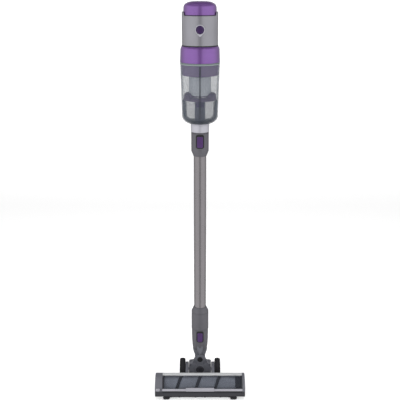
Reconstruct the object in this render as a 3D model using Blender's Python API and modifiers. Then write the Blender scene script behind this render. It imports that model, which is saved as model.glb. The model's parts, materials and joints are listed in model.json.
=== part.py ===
"""Cordless stick vacuum: floor head, steering joint, wand, and hand unit with dust bin.

Every length below is in millimetres and is scaled to metres by MM. Two frames are used.
The head frame stands on the floor under the swivel pin: +X right, +Y to the rear, +Z up.
The pole frame starts on the swivel pin and leans forward: its Z, called s here, runs up
along the wand, and its Y points to the rear of the hand unit.
"""

import math

import bmesh
import bpy

MM = 0.001
OBJECT = "cordless_stick_vacuum"

# Overall layout
PIN_Y = 17.8  # moves the swivel pin back, so that the origin is under the middle of the whole object
PIN_Z = 80.0
LEAN = 4.0  # degrees that the parked pole leans forward
GAP = 0.3

# Floor head
HEAD_LEFT = -131.0
HEAD_RIGHT = 131.0
LEFT_SEAM = -110.0
RIGHT_SEAM = 123.5
BRUSH_Y = -85.0
BRUSH_Z = 31.5
CHAMBER_R = 31.2
HOUSING_R = 33.8
HEAD_FRONT = -121.5
HEAD_REAR = -28.0
HEAD_UNDER = 5.5
WALL = 2.5
PILE_R = 26.0
STRIP_R = 28.4
STRIP_WIRE = 1.2
STRIP_PITCH = 56.0
STRIP_FOOT = -102.0  # where the strip starts, and where it crosses the roller's front, 28 degrees up
STRIP_CROSS = -8.0
STRIP_TURNS = 3.6
PULLEY_X = 110.0
BELT_MOTOR_Y = -40.8
BELT_MOTOR_Z = 24.5
BELT_MOTOR_R = 10.0
LIP_TOP = 29.4
BRUSH_PULLEY_R = 12.0
MOTOR_PULLEY_R = 6.0
BELT_THICK = 1.6

# Wheels and axles
AXLE_Y = 10.0
AXLE_Z = 33.0
AXLE_R = 4.0
WHEEL_X = 53.5
WHEEL_R = 33.0
ROLLER_X = 98.0
ROLLER_Y = -113.5
ROLLER_R = 6.0
ROLLER_ROOM = 10.8
ARM_X = 39.35
ARM_THICK = 9.3

# Steering joint
PIN_R = 5.0
TONGUE = 23.0
SLOT = 23.8
SLOT_FLOOR = -9.5
SLOT_R = 17.6
EAR_FRONT = -18.5
EAR_REAR = 20.5

# Wand and its plug-in ends
TUBE_R = 17.5
TUBE_IN = 16.0
SPIGOT_R = 16.4
SPIGOT_IN = 14.2
SOCKET_R = 16.8
NECK_TOP = 98.0
TUBE_FOOT = 150.3
TUBE_HEAD = 648.0
BAND_FOOT = 700.2
BUTTON_IN = 20.0
BUTTON_FACE = 25.2
BUTTON_FLOOR = 17.2
BUTTON_ROOM = 0.4
NECK_BUTTON = (10.5, 61.0, 97.4)  # half width, foot and top
WAND_BUTTON = (11.0, 656.7, 694.9)
SLEEVE_FACE = 32.0  # a reach that clears every sleeve

# Hand unit
BIN_FOOT = 724.4
BIN_TOP = 885.0
DUCT_R = 14.3
BODY_R = 47.7
BODY_IN = 45.2
BODY_FOOT = 929.4
BODY_RIM = 1006.3
EAR_TOP = 1016.0
RELEASE_S = 972.0
RELEASE_R = 10.5
GRIP_R = 15.0
BRIDGE_FOOT = 888.5
BRIDGE_TOP = 908.0
MODE_Y = 80.0
MODE_R = 7.0
MODE_FACE = 1018.6
MODE_DEEP = 7.6
TRIGGER = (8.0, 927.6, 958.4)  # half width, foot and top
TRIGGER_FRONT = 114.0
TRIGGER_BACK = 127.0
BATTERY_FOOT = 826.0
BATTERY_FRONT = 62.0
BATTERY_BACK = 150.0
BATTERY_HALF = 29.0
LATCH = (10.0, 840.0, 856.0)
CELL_R = 10.7
CELL_PITCH = 21.0

ALONG_X = (0, 90, 0)  # turns a piece's own Z onto +X
ALONG_Y = (90, 0, 0)  # turns a piece's own Z onto -Y, so its face looks forward
SECTION = (90, 0, 90)  # lays an outline's X and Y onto the head's Y and Z


# ---------------------------------------------------------------- scene and materials

for old in list(bpy.data.objects):
    bpy.data.objects.remove(old, do_unlink=True)


def collection(name):
    made = bpy.data.collections.new(name)
    bpy.context.scene.collection.children.link(made)
    return made


PARTS = collection(OBJECT)
CUTTERS = collection("cutters")


def linear(channel):
    channel /= 255
    return channel / 12.92 if channel <= 0.04045 else ((channel + 0.055) / 1.055) ** 2.4


def finish(name, colour, roughness, metallic=0.0, alpha=1.0):
    made = bpy.data.materials.new(name)
    made.use_nodes = True
    shader = made.node_tree.nodes["Principled BSDF"]
    shader.inputs["Base Color"].default_value = (*map(linear, colour), 1)
    shader.inputs["Roughness"].default_value = roughness
    shader.inputs["Metallic"].default_value = metallic
    shader.inputs["Alpha"].default_value = alpha
    return made


SILVER = finish("silver_paint", (160, 160, 166), 0.35, 0.6)
PURPLE = finish("purple_paint", (128, 96, 158), 0.3, 0.7)
DARK_PURPLE = finish("dark_purple_plastic", (74, 56, 92), 0.4)
SMOKE = finish("smoke_plastic", (120, 126, 134), 0.1, 0.0, 0.4)
LIGHT_SMOKE = finish("light_smoke_plastic", (188, 189, 190), 0.15, 0.0, 0.6)
MESH_STEEL = finish("mesh_steel", (158, 163, 173), 0.4, 0.9)
CHARCOAL = finish("charcoal_plastic", (62, 62, 68), 0.5)
GREY = finish("grey_plastic", (112, 113, 120), 0.45)
SLEEVE = finish("sleeve_plastic", (108, 107, 112), 0.45)
ALUMINIUM = finish("anodised_aluminium", (150, 147, 149), 0.3, 1.0)
STEEL = finish("steel", (150, 152, 156), 0.3, 1.0)
RUBBER = finish("black_rubber", (46, 46, 49), 0.8)
PILE = finish("roller_pile", (104, 110, 122), 0.9)
BRISTLE = finish("bristle", (26, 26, 30), 0.7)
FILTER = finish("filter_fleece", (214, 214, 208), 0.95)
COPPER = finish("copper_winding", (150, 92, 60), 0.4, 0.8)
BOARD = finish("circuit_board", (40, 84, 62), 0.5)
CELL = finish("battery_cells", (86, 110, 128), 0.5)


# ---------------------------------------------------------------- frames and modelling helpers


def frame(name, location, turn=(0, 0, 0)):
    empty = bpy.data.objects.new(name, None)
    PARTS.objects.link(empty)
    empty.location = [MM * value for value in location]
    empty.rotation_euler = [math.radians(angle) for angle in turn]
    return empty


HEAD = frame("head_frame", (0, PIN_Y, 0))
POLE = frame("pole_frame", (0, PIN_Y, PIN_Z), (LEAN, 0, 0))


def to_pole(y, z):
    """A point of the head frame, as the pole frame's y and s."""
    lean = math.radians(LEAN)
    up = z - PIN_Z
    return y * math.cos(lean) + up * math.sin(lean), up * math.cos(lean) - y * math.sin(lean)


AXLE_POLE_Y, AXLE_POLE_S = to_pole(AXLE_Y, AXLE_Z)


def add(name, data, material, parent, at=(0, 0, 0), turn=(0, 0, 0)):
    """A part, or a cutter where material is None."""
    made = bpy.data.objects.new(name, data)
    (PARTS if material else CUTTERS).objects.link(made)
    if material:
        data.materials.append(material)
    else:
        made.hide_render = True
        made.display_type = "WIRE"
    made.parent = parent
    made.location = [MM * value for value in at]
    made.rotation_euler = [math.radians(angle) for angle in turn]
    return made


def bevelled(made, width, segments=2):
    if width:
        bevel = made.modifiers.new("Bevel", "BEVEL")
        bevel.width = MM * width
        bevel.segments = segments
        bevel.limit_method = "ANGLE"
    return made


def box(name, low, high, material, parent, bevel=0.0):
    mesh = bpy.data.meshes.new(name)
    cage = bmesh.new()
    bmesh.ops.create_cube(cage, size=1.0)
    for corner in cage.verts:
        for axis in range(3):
            corner.co[axis] *= MM * (high[axis] - low[axis])
    cage.to_mesh(mesh)
    cage.free()
    centre = [(a + b) / 2 for a, b in zip(low, high)]
    return bevelled(add(name, mesh, material, parent, centre), bevel)


def rod(name, radius, length, material, parent, at, turn, sides=24, bevel=0.0):
    mesh = bpy.data.meshes.new(name)
    cage = bmesh.new()
    half = MM * radius
    bmesh.ops.create_cone(cage, cap_ends=True, segments=sides, radius1=half, radius2=half, depth=MM * length)
    cage.to_mesh(mesh)
    cage.free()
    mesh.shade_smooth()
    mesh.set_sharp_from_angle(angle=math.radians(40))
    return bevelled(add(name, mesh, material, parent, at, turn), bevel)


def turned(name, profile, material, parent, at=(0, 0, 0), turn=(0, 0, 0), steps=32, ring=True):
    """A lathe form. The profile's (radius, height) points run down the outer side; a ring's close up the inner."""
    mesh = bpy.data.meshes.new(name)
    points = [(MM * radius, 0, MM * height) for radius, height in profile]
    edges = [(i, i + 1) for i in range(len(points) - 1)]
    if ring:
        edges.append((len(points) - 1, 0))
    mesh.from_pydata(points, edges, [])
    made = add(name, mesh, material, parent, at, turn)
    screw = made.modifiers.new("Screw", "SCREW")
    screw.steps = steps
    screw.render_steps = steps
    screw.use_merge_vertices = True
    screw.merge_threshold = 0.00001
    screw.use_smooth_shade = True
    return made


def curve_to_mesh(made):
    """The same object with its curve made a closed mesh."""
    bpy.context.view_layer.update()
    solid = bpy.data.meshes.new_from_object(made.evaluated_get(bpy.context.evaluated_depsgraph_get()))
    cage = bmesh.new()
    cage.from_mesh(solid)
    bmesh.ops.remove_doubles(cage, verts=cage.verts, dist=0.000005)
    bmesh.ops.recalc_face_normals(cage, faces=cage.faces)
    cage.to_mesh(solid)
    cage.free()
    name, parent, matrix = made.name, made.parent, made.matrix_world.copy()
    material = made.data.materials[0] if made.data.materials else None
    basis = made.matrix_basis.copy()
    bpy.data.objects.remove(made, do_unlink=True)
    if not solid.materials and material:
        solid.materials.append(material)
    swept = bpy.data.objects.new(name, solid)
    (PARTS if material else CUTTERS).objects.link(swept)
    swept.parent = parent
    swept.matrix_basis = basis
    if not material:
        swept.hide_render = True
        swept.display_type = "WIRE"
    bpy.context.view_layer.update()
    swept.matrix_world = matrix
    return swept


def plate(name, outline, thickness, material, parent, at=(0, 0, 0), turn=SECTION):
    """A flat outline with thickness, centred on its own plane."""
    curve = bpy.data.curves.new(name, "CURVE")
    curve.dimensions = "2D"
    curve.fill_mode = "BOTH"
    curve.extrude = MM * thickness / 2
    spline = curve.splines.new("POLY")
    spline.points.add(len(outline) - 1)
    for point, (across, up) in zip(spline.points, outline):
        point.co = (MM * across, MM * up, 0, 1)
    spline.use_cyclic_u = True
    return curve_to_mesh(add(name, curve, material, parent, at, turn))


def tube(name, points, radius, material, parent, smooth=True, sides=2):
    """A round bar along points: a smooth curve through them, or straight between close ones."""
    curve = bpy.data.curves.new(name, "CURVE")
    curve.dimensions = "3D"
    curve.bevel_depth = MM * radius
    curve.bevel_resolution = sides
    curve.use_fill_caps = True
    curve.resolution_u = 4
    if smooth:
        spline = curve.splines.new("BEZIER")
        spline.bezier_points.add(len(points) - 1)
        for knot, point in zip(spline.bezier_points, points):
            knot.co = [MM * value for value in point]
            knot.handle_left_type = knot.handle_right_type = "AUTO"
    else:
        spline = curve.splines.new("POLY")
        spline.points.add(len(points) - 1)
        for knot, point in zip(spline.points, points):
            knot.co = (*[MM * value for value in point], 1)
    return curve_to_mesh(add(name, curve, material, parent))


def combine(target, other, operation):
    boolean = target.modifiers.new(operation.title(), "BOOLEAN")
    boolean.operation = operation
    boolean.object = other
    return target


def cut(target, *cutters):
    for cutter in cutters:
        combine(target, cutter, "DIFFERENCE")
    return target


def join(target, *pieces):
    for piece in pieces:
        combine(target, piece, "UNION")
    return target


def arc(centre_y, centre_z, radius, first, last, count):
    """Points on an arc, with angles in degrees from the front over the top."""
    points = []
    for i in range(count + 1):
        angle = math.radians(first + (last - first) * i / count)
        points.append((centre_y - radius * math.cos(angle), centre_z + radius * math.sin(angle)))
    return points


# ---------------------------------------------------------------- floor head


def head_outline(inset=0.0):
    """The head's side profile, drawn in by inset."""
    front, rear, under = HEAD_FRONT + inset, HEAD_REAR - inset, HEAD_UNDER + inset
    top = arc(BRUSH_Y, BRUSH_Z, HOUSING_R + 0.7 - inset, 17, 134, 13)
    return [
        (front + 11.5, under),
        (front, under + 6.5),
        (front, BRUSH_Z + 8.5),
        *top,
        (-48.8, 48.5 - inset),
        (-35.8, 43.3 - inset),
        (rear, 37.8 - inset),
        (rear, 12),
        (rear - 5, under),
    ]


def head_base():
    """The tray: front lip, floor plate with the brush mouth, chamber wall, rear wall and wheel arms."""
    chamber_foot = 180 + math.degrees(math.asin((BRUSH_Z - HEAD_UNDER - 3) / HOUSING_R))
    floor = HEAD_UNDER + 3
    outline = [
        (HEAD_FRONT, LIP_TOP),
        (HEAD_FRONT, HEAD_UNDER + 6.5),
        (HEAD_FRONT + 11.5, HEAD_UNDER),
        (HEAD_REAR - 5, HEAD_UNDER),
        (HEAD_REAR, HEAD_UNDER + 5),
        (HEAD_REAR, 30),
        (HEAD_REAR - WALL, 30),
        (HEAD_REAR - WALL, floor),
        *arc(BRUSH_Y, BRUSH_Z, HOUSING_R, chamber_foot, 150, 9),
        *arc(BRUSH_Y, BRUSH_Z, CHAMBER_R, 150, chamber_foot + 2, 9),
        (HEAD_FRONT + 14, floor),
        (HEAD_FRONT + 2.7, floor + 6.4),
        (HEAD_FRONT + 2.7, LIP_TOP),
    ]
    width = RIGHT_SEAM - LEFT_SEAM - 2 * GAP
    middle = (RIGHT_SEAM + LEFT_SEAM) / 2
    base = plate("head_base", outline, width, CHARCOAL, HEAD, (middle, 0, 0))
    cut(
        base,
        box("mouth_cut", (-120, -106, 0), (104, -64, 12), None, HEAD),
        box("belt_cut", (104.5, -76, 12), (120, -31, 70), None, HEAD),
    )
    arm = [(-29.5, 14), (-29.5, 29.9), (-27.6, 29.9), (-27.6, 33), (-13, 49.5), (-3, 57.5), (8, 58.5)]
    arm += [(22, 50), (22, 19), (-20, 14)]
    for side, word in ((-1, "left"), (1, "right")):
        join(base, plate(f"arm_{word}", arm, ARM_THICK, None, HEAD, (side * ARM_X, 0, 0)))
        low, high = side * ROLLER_X - ROLLER_ROOM, side * ROLLER_X + ROLLER_ROOM
        pocket = box(f"roller_pocket_{word}", (low, ROLLER_Y - 6.6, 0), (high, ROLLER_Y + 6.6, 13), None, HEAD)
        cut(base, pocket)
    cut(base, rod("axle_bore", AXLE_R + GAP, 140, None, HEAD, (0, AXLE_Y, AXLE_Z), ALONG_X))


def head_covers():
    """The clear window over the brush, the pale rail behind it, the rear cover and the front trim."""
    left, right = LEFT_SEAM + GAP, RIGHT_SEAM - GAP
    width, middle = right - left, (left + right) / 2

    def shell(name, first, last, outer, count, material):
        outline = arc(BRUSH_Y, BRUSH_Z, outer, first, last, count)
        outline += arc(BRUSH_Y, BRUSH_Z, CHAMBER_R, last, first, count)
        plate(name, outline, width, material, HEAD, (middle, 0, 0))

    shell("brush_window", 0, 100, HOUSING_R, 14, SMOKE)
    shell("window_rail", 100.6, 124, HOUSING_R + 0.4, 4, LIGHT_SMOKE)
    cover = [
        *arc(BRUSH_Y, BRUSH_Z, HOUSING_R + 0.4, 124.7, 134, 2),
        (-49, 48.2),
        (-36, 43),
        (HEAD_REAR, 37.5),
        (HEAD_REAR, 30.4),
        (HEAD_REAR - WALL, 30.4),
        (HEAD_REAR - WALL, 36.2),
        (-37, 40.5),
        (-49.6, 45.5),
        arc(BRUSH_Y, BRUSH_Z, HOUSING_R + 0.9, 149.3, 150, 1)[0],
        *arc(BRUSH_Y, BRUSH_Z, CHAMBER_R, 149.3, 124.7, 4),
    ]
    plate("rear_cover", cover, width, GREY, HEAD, (middle, 0, 0))
    trim = box("front_trim", (left, HEAD_FRONT, 30), (right, -119.2, 37), SILVER, HEAD)
    join(trim, box("trim_centre", (-41, HEAD_FRONT - 2, 29.8), (41, -119.4, 40.6), None, HEAD, 0.8))


def end_caps():
    """The fixed right cap, the left cap that pulls out with the brush, and the left cap's latch."""
    thick = HEAD_RIGHT - RIGHT_SEAM
    middle = (HEAD_RIGHT + RIGHT_SEAM) / 2
    cap = plate("right_end_cap", head_outline(), thick, GREY, HEAD, (middle, 0, 0))
    hollow = plate("right_cap_hollow", head_outline(2.6), thick, None, HEAD, (middle - WALL, 0, 0))
    cut(cap, hollow)

    thick = LEFT_SEAM - HEAD_LEFT
    middle = (LEFT_SEAM + HEAD_LEFT) / 2
    cap = plate("left_end_cap", head_outline(), thick, GREY, HEAD, (middle, 0, 0))
    hollow = plate("left_cap_hollow", head_outline(2.6), thick, None, HEAD, (middle + WALL, 0, 0))
    spigot = turned(
        "left_spigot",
        [(0, 15), (4, 15), (4, 0.5), (9, 0.5), (9, -19.5), (0, -19.5)],
        None,
        HEAD,
        (LEFT_SEAM, BRUSH_Y, BRUSH_Z),
        ALONG_X,
        20,
        False,
    )
    slot = box("latch_slot", (-128.4, -130, 31), (-111.4, -119.7, 39), None, HEAD)
    join(cut(cap, hollow), spigot)
    cut(cap, slot)
    box("end_cap_latch", (-128, -123.3, 31.4), (-117, -120.0, 38.6), STEEL, HEAD, 0.8)


def brush():
    """The roller that pulls out to the left: core, pile sleeve, one helical bristle strip and end bearing."""
    at = (0, BRUSH_Y, BRUSH_Z)
    turned("brush_core", [(14, 104), (14, -106), (8, -106), (8, 104)], CHARCOAL, HEAD, at, ALONG_X, 24)
    pile = [(PILE_R - 1, 103), (PILE_R, 102), (PILE_R, -104), (PILE_R - 1, -105), (14.3, -105), (14.3, 103)]
    turned("brush_pile", pile, PILE, HEAD, at, ALONG_X, 28)
    ring = [(7.7, 4), (7.7, -4), (4.3, -4), (4.3, 4)]
    turned("brush_bearing", ring, STEEL, HEAD, (-101, BRUSH_Y, BRUSH_Z), ALONG_X, 20)
    each = 14
    helix = []
    for i in range(round(STRIP_TURNS * each) + 1):
        x = STRIP_FOOT + STRIP_PITCH * i / each
        angle = math.radians(152) - math.tau * (x - STRIP_CROSS) / STRIP_PITCH
        helix.append((x, BRUSH_Y + STRIP_R * math.cos(angle), BRUSH_Z + STRIP_R * math.sin(angle)))
    tube("bristle_strip", helix, STRIP_WIRE, BRISTLE, HEAD, smooth=False, sides=1)


def brush_drive():
    """The motor behind the brush chamber, its pulley, the belt, and the pulley that drives the brush."""
    motor_at = (66, BELT_MOTOR_Y, BELT_MOTOR_Z)
    rod("brush_motor", BELT_MOTOR_R, 72, STEEL, HEAD, motor_at, ALONG_X, 20, 0.8)
    wide, small = BRUSH_PULLEY_R, MOTOR_PULLEY_R
    lower = [(0, 4), (wide, 4), (wide, -4), (6, -4), (6, -5.6), (0, -5.6)]
    turned("brush_pulley", lower, CHARCOAL, HEAD, (PULLEY_X, BRUSH_Y, BRUSH_Z), ALONG_X, 24, False)
    upper = [(0, 4), (small, 4), (small, -4), (1.5, -4), (1.5, -7.6), (0, -7.6)]
    turned("motor_pulley", upper, STEEL, HEAD, (PULLEY_X, BELT_MOTOR_Y, BELT_MOTOR_Z), ALONG_X, 20, False)

    run_y, run_z = BELT_MOTOR_Y - BRUSH_Y, BELT_MOTOR_Z - BRUSH_Z
    along = math.atan2(run_z, run_y)
    lean = math.acos((wide - small) / math.hypot(run_y, run_z))

    def loop(extra):
        points = []
        for centre, radius, first, last in (
            ((BRUSH_Y, BRUSH_Z), wide, along + lean, along - lean + math.tau),
            ((BELT_MOTOR_Y, BELT_MOTOR_Z), small, along - lean, along + lean),
        ):
            for i in range(11):
                angle = first + (last - first) * i / 10
                reach = (radius + extra) / math.cos((last - first) / 20)
                points.append((centre[0] + reach * math.cos(angle), centre[1] + reach * math.sin(angle)))
        return points

    belt = plate("drive_belt", loop(GAP + BELT_THICK), 7, RUBBER, HEAD, (PULLEY_X, 0, 0))
    cut(belt, plate("belt_inside", loop(GAP), 12, None, HEAD, (PULLEY_X, 0, 0)))


def wheels():
    """Two rear wheels on one axle, and the two small rollers under the head's front edge."""
    rod("wheel_axle", AXLE_R, 126, STEEL, HEAD, (0, AXLE_Y, AXLE_Z), ALONG_X, 20, 0.6)
    tread = [(30, 8.5), (32.2, 6.5), (WHEEL_R, 2.5), (WHEEL_R, -2.5), (32.2, -6.5), (30, -8.5)]
    tyre = [*tread, (24.3, -8.5), (24.3, 8.5)]
    hub = [(24, 7.5), (24, -7.5), (AXLE_R + GAP, -7.5), (AXLE_R + GAP, 7.5)]
    stub = [(0, 10.4), (1.5, 10.4), (1.5, 9.4), (4.2, 9.4), (5.5, 7.6), (ROLLER_R, 4.6)]
    stub += [(reach, -x) for reach, x in reversed(stub)]
    for side, word in ((-1, "left"), (1, "right")):
        at = (side * WHEEL_X, AXLE_Y, AXLE_Z)
        turned(f"wheel_tyre_{word}", tyre, RUBBER, HEAD, at, ALONG_X, 36)
        turned(f"wheel_hub_{word}", hub, CHARCOAL, HEAD, at, ALONG_X, 24)
        at = (side * ROLLER_X, ROLLER_Y, ROLLER_R)
        turned(f"front_roller_{word}", stub, RUBBER, HEAD, at, ALONG_X, 16, False)


# ---------------------------------------------------------------- steering joint


def carriage():
    """The block that tilts on the wheel axle, with two ears that hold the swivel pin, and its front cap."""
    half = [(33.5, -62), (34, -30), (32, -16.5), (24, -14), (22.5, -10.5), (18.5, -1), (13.8, 8), (8, 13.5), (5, 15.3)]
    outline = [*half, *[(-x, s) for x, s in reversed(half)]]
    thick = EAR_REAR - EAR_FRONT
    middle = (EAR_REAR + EAR_FRONT) / 2
    block = plate("carriage", outline, thick, GREY, POLE, (0, middle, 0), ALONG_Y)
    half_slot = SLOT / 2
    waist = [(11.5, 25), (11.5, -2), (16, -14), (19, -22), (45, -26), (45, 25)]
    for side in (-1, 1):
        outline = [(side * x, s) for x, s in waist]
        cut(block, plate("waist_cut", outline, 32, None, POLE, (0, 10, 0), ALONG_Y))
    cut(
        bevelled(block, 1.6, 1),
        box("slot_cut", (-60, -half_slot, SLOT_FLOOR), (60, half_slot, 40), None, POLE),
        rod("slot_floor", SLOT_R, SLOT, None, POLE, (0, 0, 0), ALONG_Y, 28),
        rod("swivel_bore", PIN_R + GAP, 60, None, POLE, (0, 0, 0), ALONG_Y),
        rod("carriage_bore", AXLE_R + GAP, 90, None, POLE, (0, AXLE_POLE_Y, AXLE_POLE_S), ALONG_X),
    )
    face = -EAR_FRONT + GAP
    head = [(0, face + 3), (7, face + 3), (8, face + 2), (8, face), (PIN_R, face), (PIN_R, -20.2), (0, -20.2)]
    turned("swivel_pin", head, STEEL, POLE, (0, 0, 0), ALONG_Y, 24, False)
    disc = [(0, 2.6), (10.8, 2.6), (12, 1.4), (12, 0), (0, 0)]
    turned("carriage_cap", disc, CHARCOAL, POLE, (0, EAR_FRONT - GAP, -35), ALONG_Y, 24, False)


def elbow():
    """The neck that swings on the swivel pin and ends in the plug for the wand."""
    profile = [
        (0, 42),
        (SPIGOT_IN, 42),
        (SPIGOT_IN, 148),
        (SPIGOT_R, 148),
        (SPIGOT_R, NECK_TOP),
        (24.7, NECK_TOP),
        (24.0, 62),
        (22.8, 42),
        (21.4, 34),
        (18.4, 29),
        (0, 27.5),
    ]
    neck = turned("elbow", profile, SLEEVE, POLE, ring=False)
    rounded = [(16 * math.cos(math.radians(a)), 16 * math.sin(math.radians(a))) for a in range(25, -206, -23)]
    side = [(19.5, 36.5), (19.5, 31), (18.2, 23), (15.4, 16), (13.9, 11.5)]
    tongue = [*side, *rounded, *[(-x, s) for x, s in reversed(side)]]
    half, foot, top = NECK_BUTTON
    room, open_end = half + BUTTON_ROOM, NECK_TOP + 3
    cut(
        neck,
        box("neck_pocket", (-room, -SLEEVE_FACE, foot - BUTTON_ROOM), (room, -BUTTON_FLOOR, open_end), None, POLE),
    )
    join(neck, plate("tongue", tongue, TONGUE, None, POLE, (0, 0, 0), ALONG_Y))
    cut(neck, rod("tongue_bore", PIN_R + GAP, 60, None, POLE, (0, 0, 0), ALONG_Y))
    box("neck_button", (-half, -BUTTON_FACE, foot), (half, -BUTTON_IN, top), DARK_PURPLE, POLE, 1.8)


# ---------------------------------------------------------------- wand


def wand():
    """The aluminium tube with a moulded sleeve at each end, and the button that frees the hand unit."""
    lower = [
        (18.6, 171),
        (25.2, 158),
        (25.4, NECK_TOP + GAP),
        (SOCKET_R, NECK_TOP + GAP),
        (SOCKET_R, TUBE_FOOT - GAP),
        (TUBE_R + GAP, TUBE_FOOT - GAP),
        (TUBE_R + GAP, 171),
    ]
    turned("wand_lower_sleeve", lower, SLEEVE, POLE)
    pipe = [(TUBE_R, TUBE_HEAD), (TUBE_R, TUBE_FOOT), (TUBE_IN, TUBE_FOOT), (TUBE_IN, TUBE_HEAD)]
    turned("wand_tube", pipe, ALUMINIUM, POLE)
    upper = [
        (24.3, BAND_FOOT - GAP),
        (24.1, 645),
        (18.6, 632),
        (TUBE_R + GAP, 632),
        (TUBE_R + GAP, TUBE_HEAD + GAP),
        (SOCKET_R, TUBE_HEAD + GAP),
        (SOCKET_R, BAND_FOOT - GAP),
    ]
    sleeve = turned("wand_upper_sleeve", upper, SLEEVE, POLE)
    half, foot, top = WAND_BUTTON
    room, low, high = half + BUTTON_ROOM, foot - BUTTON_ROOM, top + BUTTON_ROOM
    cut(sleeve, box("wand_pocket", (-room, -SLEEVE_FACE, low), (room, -BUTTON_FLOOR, high), None, POLE))
    box("wand_button", (-half, -BUTTON_FACE, foot), (half, -BUTTON_IN, top), DARK_PURPLE, POLE, 1.8)


# ---------------------------------------------------------------- dust bin and cyclone


def dust_bin():
    """The inlet nozzle that plugs into the wand, the clear bin, its inlet duct and the flap on the duct."""
    nozzle = [
        (25.4, BIN_FOOT - 0.5),
        (24.95, BAND_FOOT),
        (SPIGOT_R, BAND_FOOT),
        (SPIGOT_R, 655),
        (SPIGOT_IN, 655),
        (SPIGOT_IN, BIN_FOOT - 0.5),
    ]
    turned("inlet_nozzle", nozzle, SILVER, POLE)
    outside = [(53, BIN_TOP), (51.8, 853), (49.6, 762), (48.95, 741), (46.5, 735.5), (40, 728.5), (34, BIN_FOOT)]
    inside = [(34.5, 726.6), (39, 730.2), (44.8, 737.2), (46.8, 742), (47.5, 762), (49.7, 853), (50.9, BIN_TOP)]
    hole = DUCT_R + 0.4
    shell = [*outside, (hole, BIN_FOOT), (hole, 726.6), *inside]
    turned("dust_bin", shell, SMOKE, POLE, steps=40)
    duct = [(DUCT_R, 785), (DUCT_R, BIN_FOOT - 0.2), (12.4, BIN_FOOT - 0.2), (12.4, 785)]
    pipe = turned("inlet_duct", duct, CHARCOAL, POLE, steps=28)
    cut(pipe, box("duct_window", (-8, -30, 770), (8, 0, 782), None, POLE))
    box("duct_flap", (-11, -17, 768), (11, -15.4, 785.5), DARK_PURPLE, POLE, 0.5)


def cyclone():
    """The separator over the duct: collar, perforated screen, skirt and inner cone."""
    collar = [(50.4, 884.6), (49.3, 853.3), (26, 853.3), (26, 855.8), (46.8, 855.8), (48, 884.6)]
    turned("cyclone_collar", collar, DARK_PURPLE, POLE, steps=36)
    screen = [(29.5, 853), (29.5, 806.2), (28.2, 806.2), (28.2, 853)]
    turned("cyclone_screen", screen, MESH_STEEL, POLE)
    top = [(40.5, 805.7), (43.2, 802.5), (44.6, 787.2), (42.9, 787.2), (41.4, 801), (39.8, 803.4)]
    turned("cyclone_skirt", [(27, 805.9), *top, (27, 803.8)], CHARCOAL, POLE, steps=36)
    cone = [(25.6, 852.9), (16.2, 806.5), (14.6, 806.5), (23.8, 852.9)]
    turned("cyclone_cone", cone, CHARCOAL, POLE, steps=28)


# ---------------------------------------------------------------- hand unit


def unit_lower():
    """The gasket and purple ring over the bin, and the filter inside the ring."""
    seal = [(52.6, 886.8), (52.6, 885.3), (50.5, 885.3), (50.5, 886.8)]
    turned("bin_seal", seal, RUBBER, POLE)
    outer = [(48.2, 928.9), (51.2, 924), (52.1, 919), (53.2, 887.2)]
    ring = [*outer, (50.2, 887.2), (49.2, 917), (46.4, 924), (45.6, 928.9)]
    turned("bin_ring", ring, PURPLE, POLE, steps=40)
    fleece = [(0, 917), (43, 917), (45.8, 913), (45.8, 892), (0, 892)]
    turned("pre_filter", fleece, FILTER, POLE, steps=28, ring=False)


def motor():
    """The suction motor on its mount: can, winding, and the rotor with its fan."""
    mount = [(44.8, 935.3), (44.8, 931.4), (31, 931.4), (31, 935.3)]
    turned("motor_mount", mount, RUBBER, POLE, steps=28)
    can = [(34, 990), (34, 935.7), (32, 935.7), (32, 988), (8, 988), (8, 990)]
    turned("motor_can", can, STEEL, POLE, steps=28)
    winding = [(31.5, 980), (31.5, 952), (12, 952), (12, 980)]
    turned("motor_winding", winding, COPPER, POLE, steps=24)
    rotor = [(0, 986), (4, 986), (4, 979), (11, 979), (11, 953), (4, 953), (4, 948), (30, 940), (30, 937), (0, 937)]
    turned("motor_rotor", rotor, ALUMINIUM, POLE, steps=28, ring=False)


def teardrop(radius, point):
    """A circle about the release button that runs down to a point, as x and s from the button's centre."""
    points = []
    for i in range(17):
        angle = math.radians(-50 + 280 * i / 16)
        points.append((radius * math.cos(angle), radius * math.sin(angle)))
    return [*points, (0, -point)]


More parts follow.
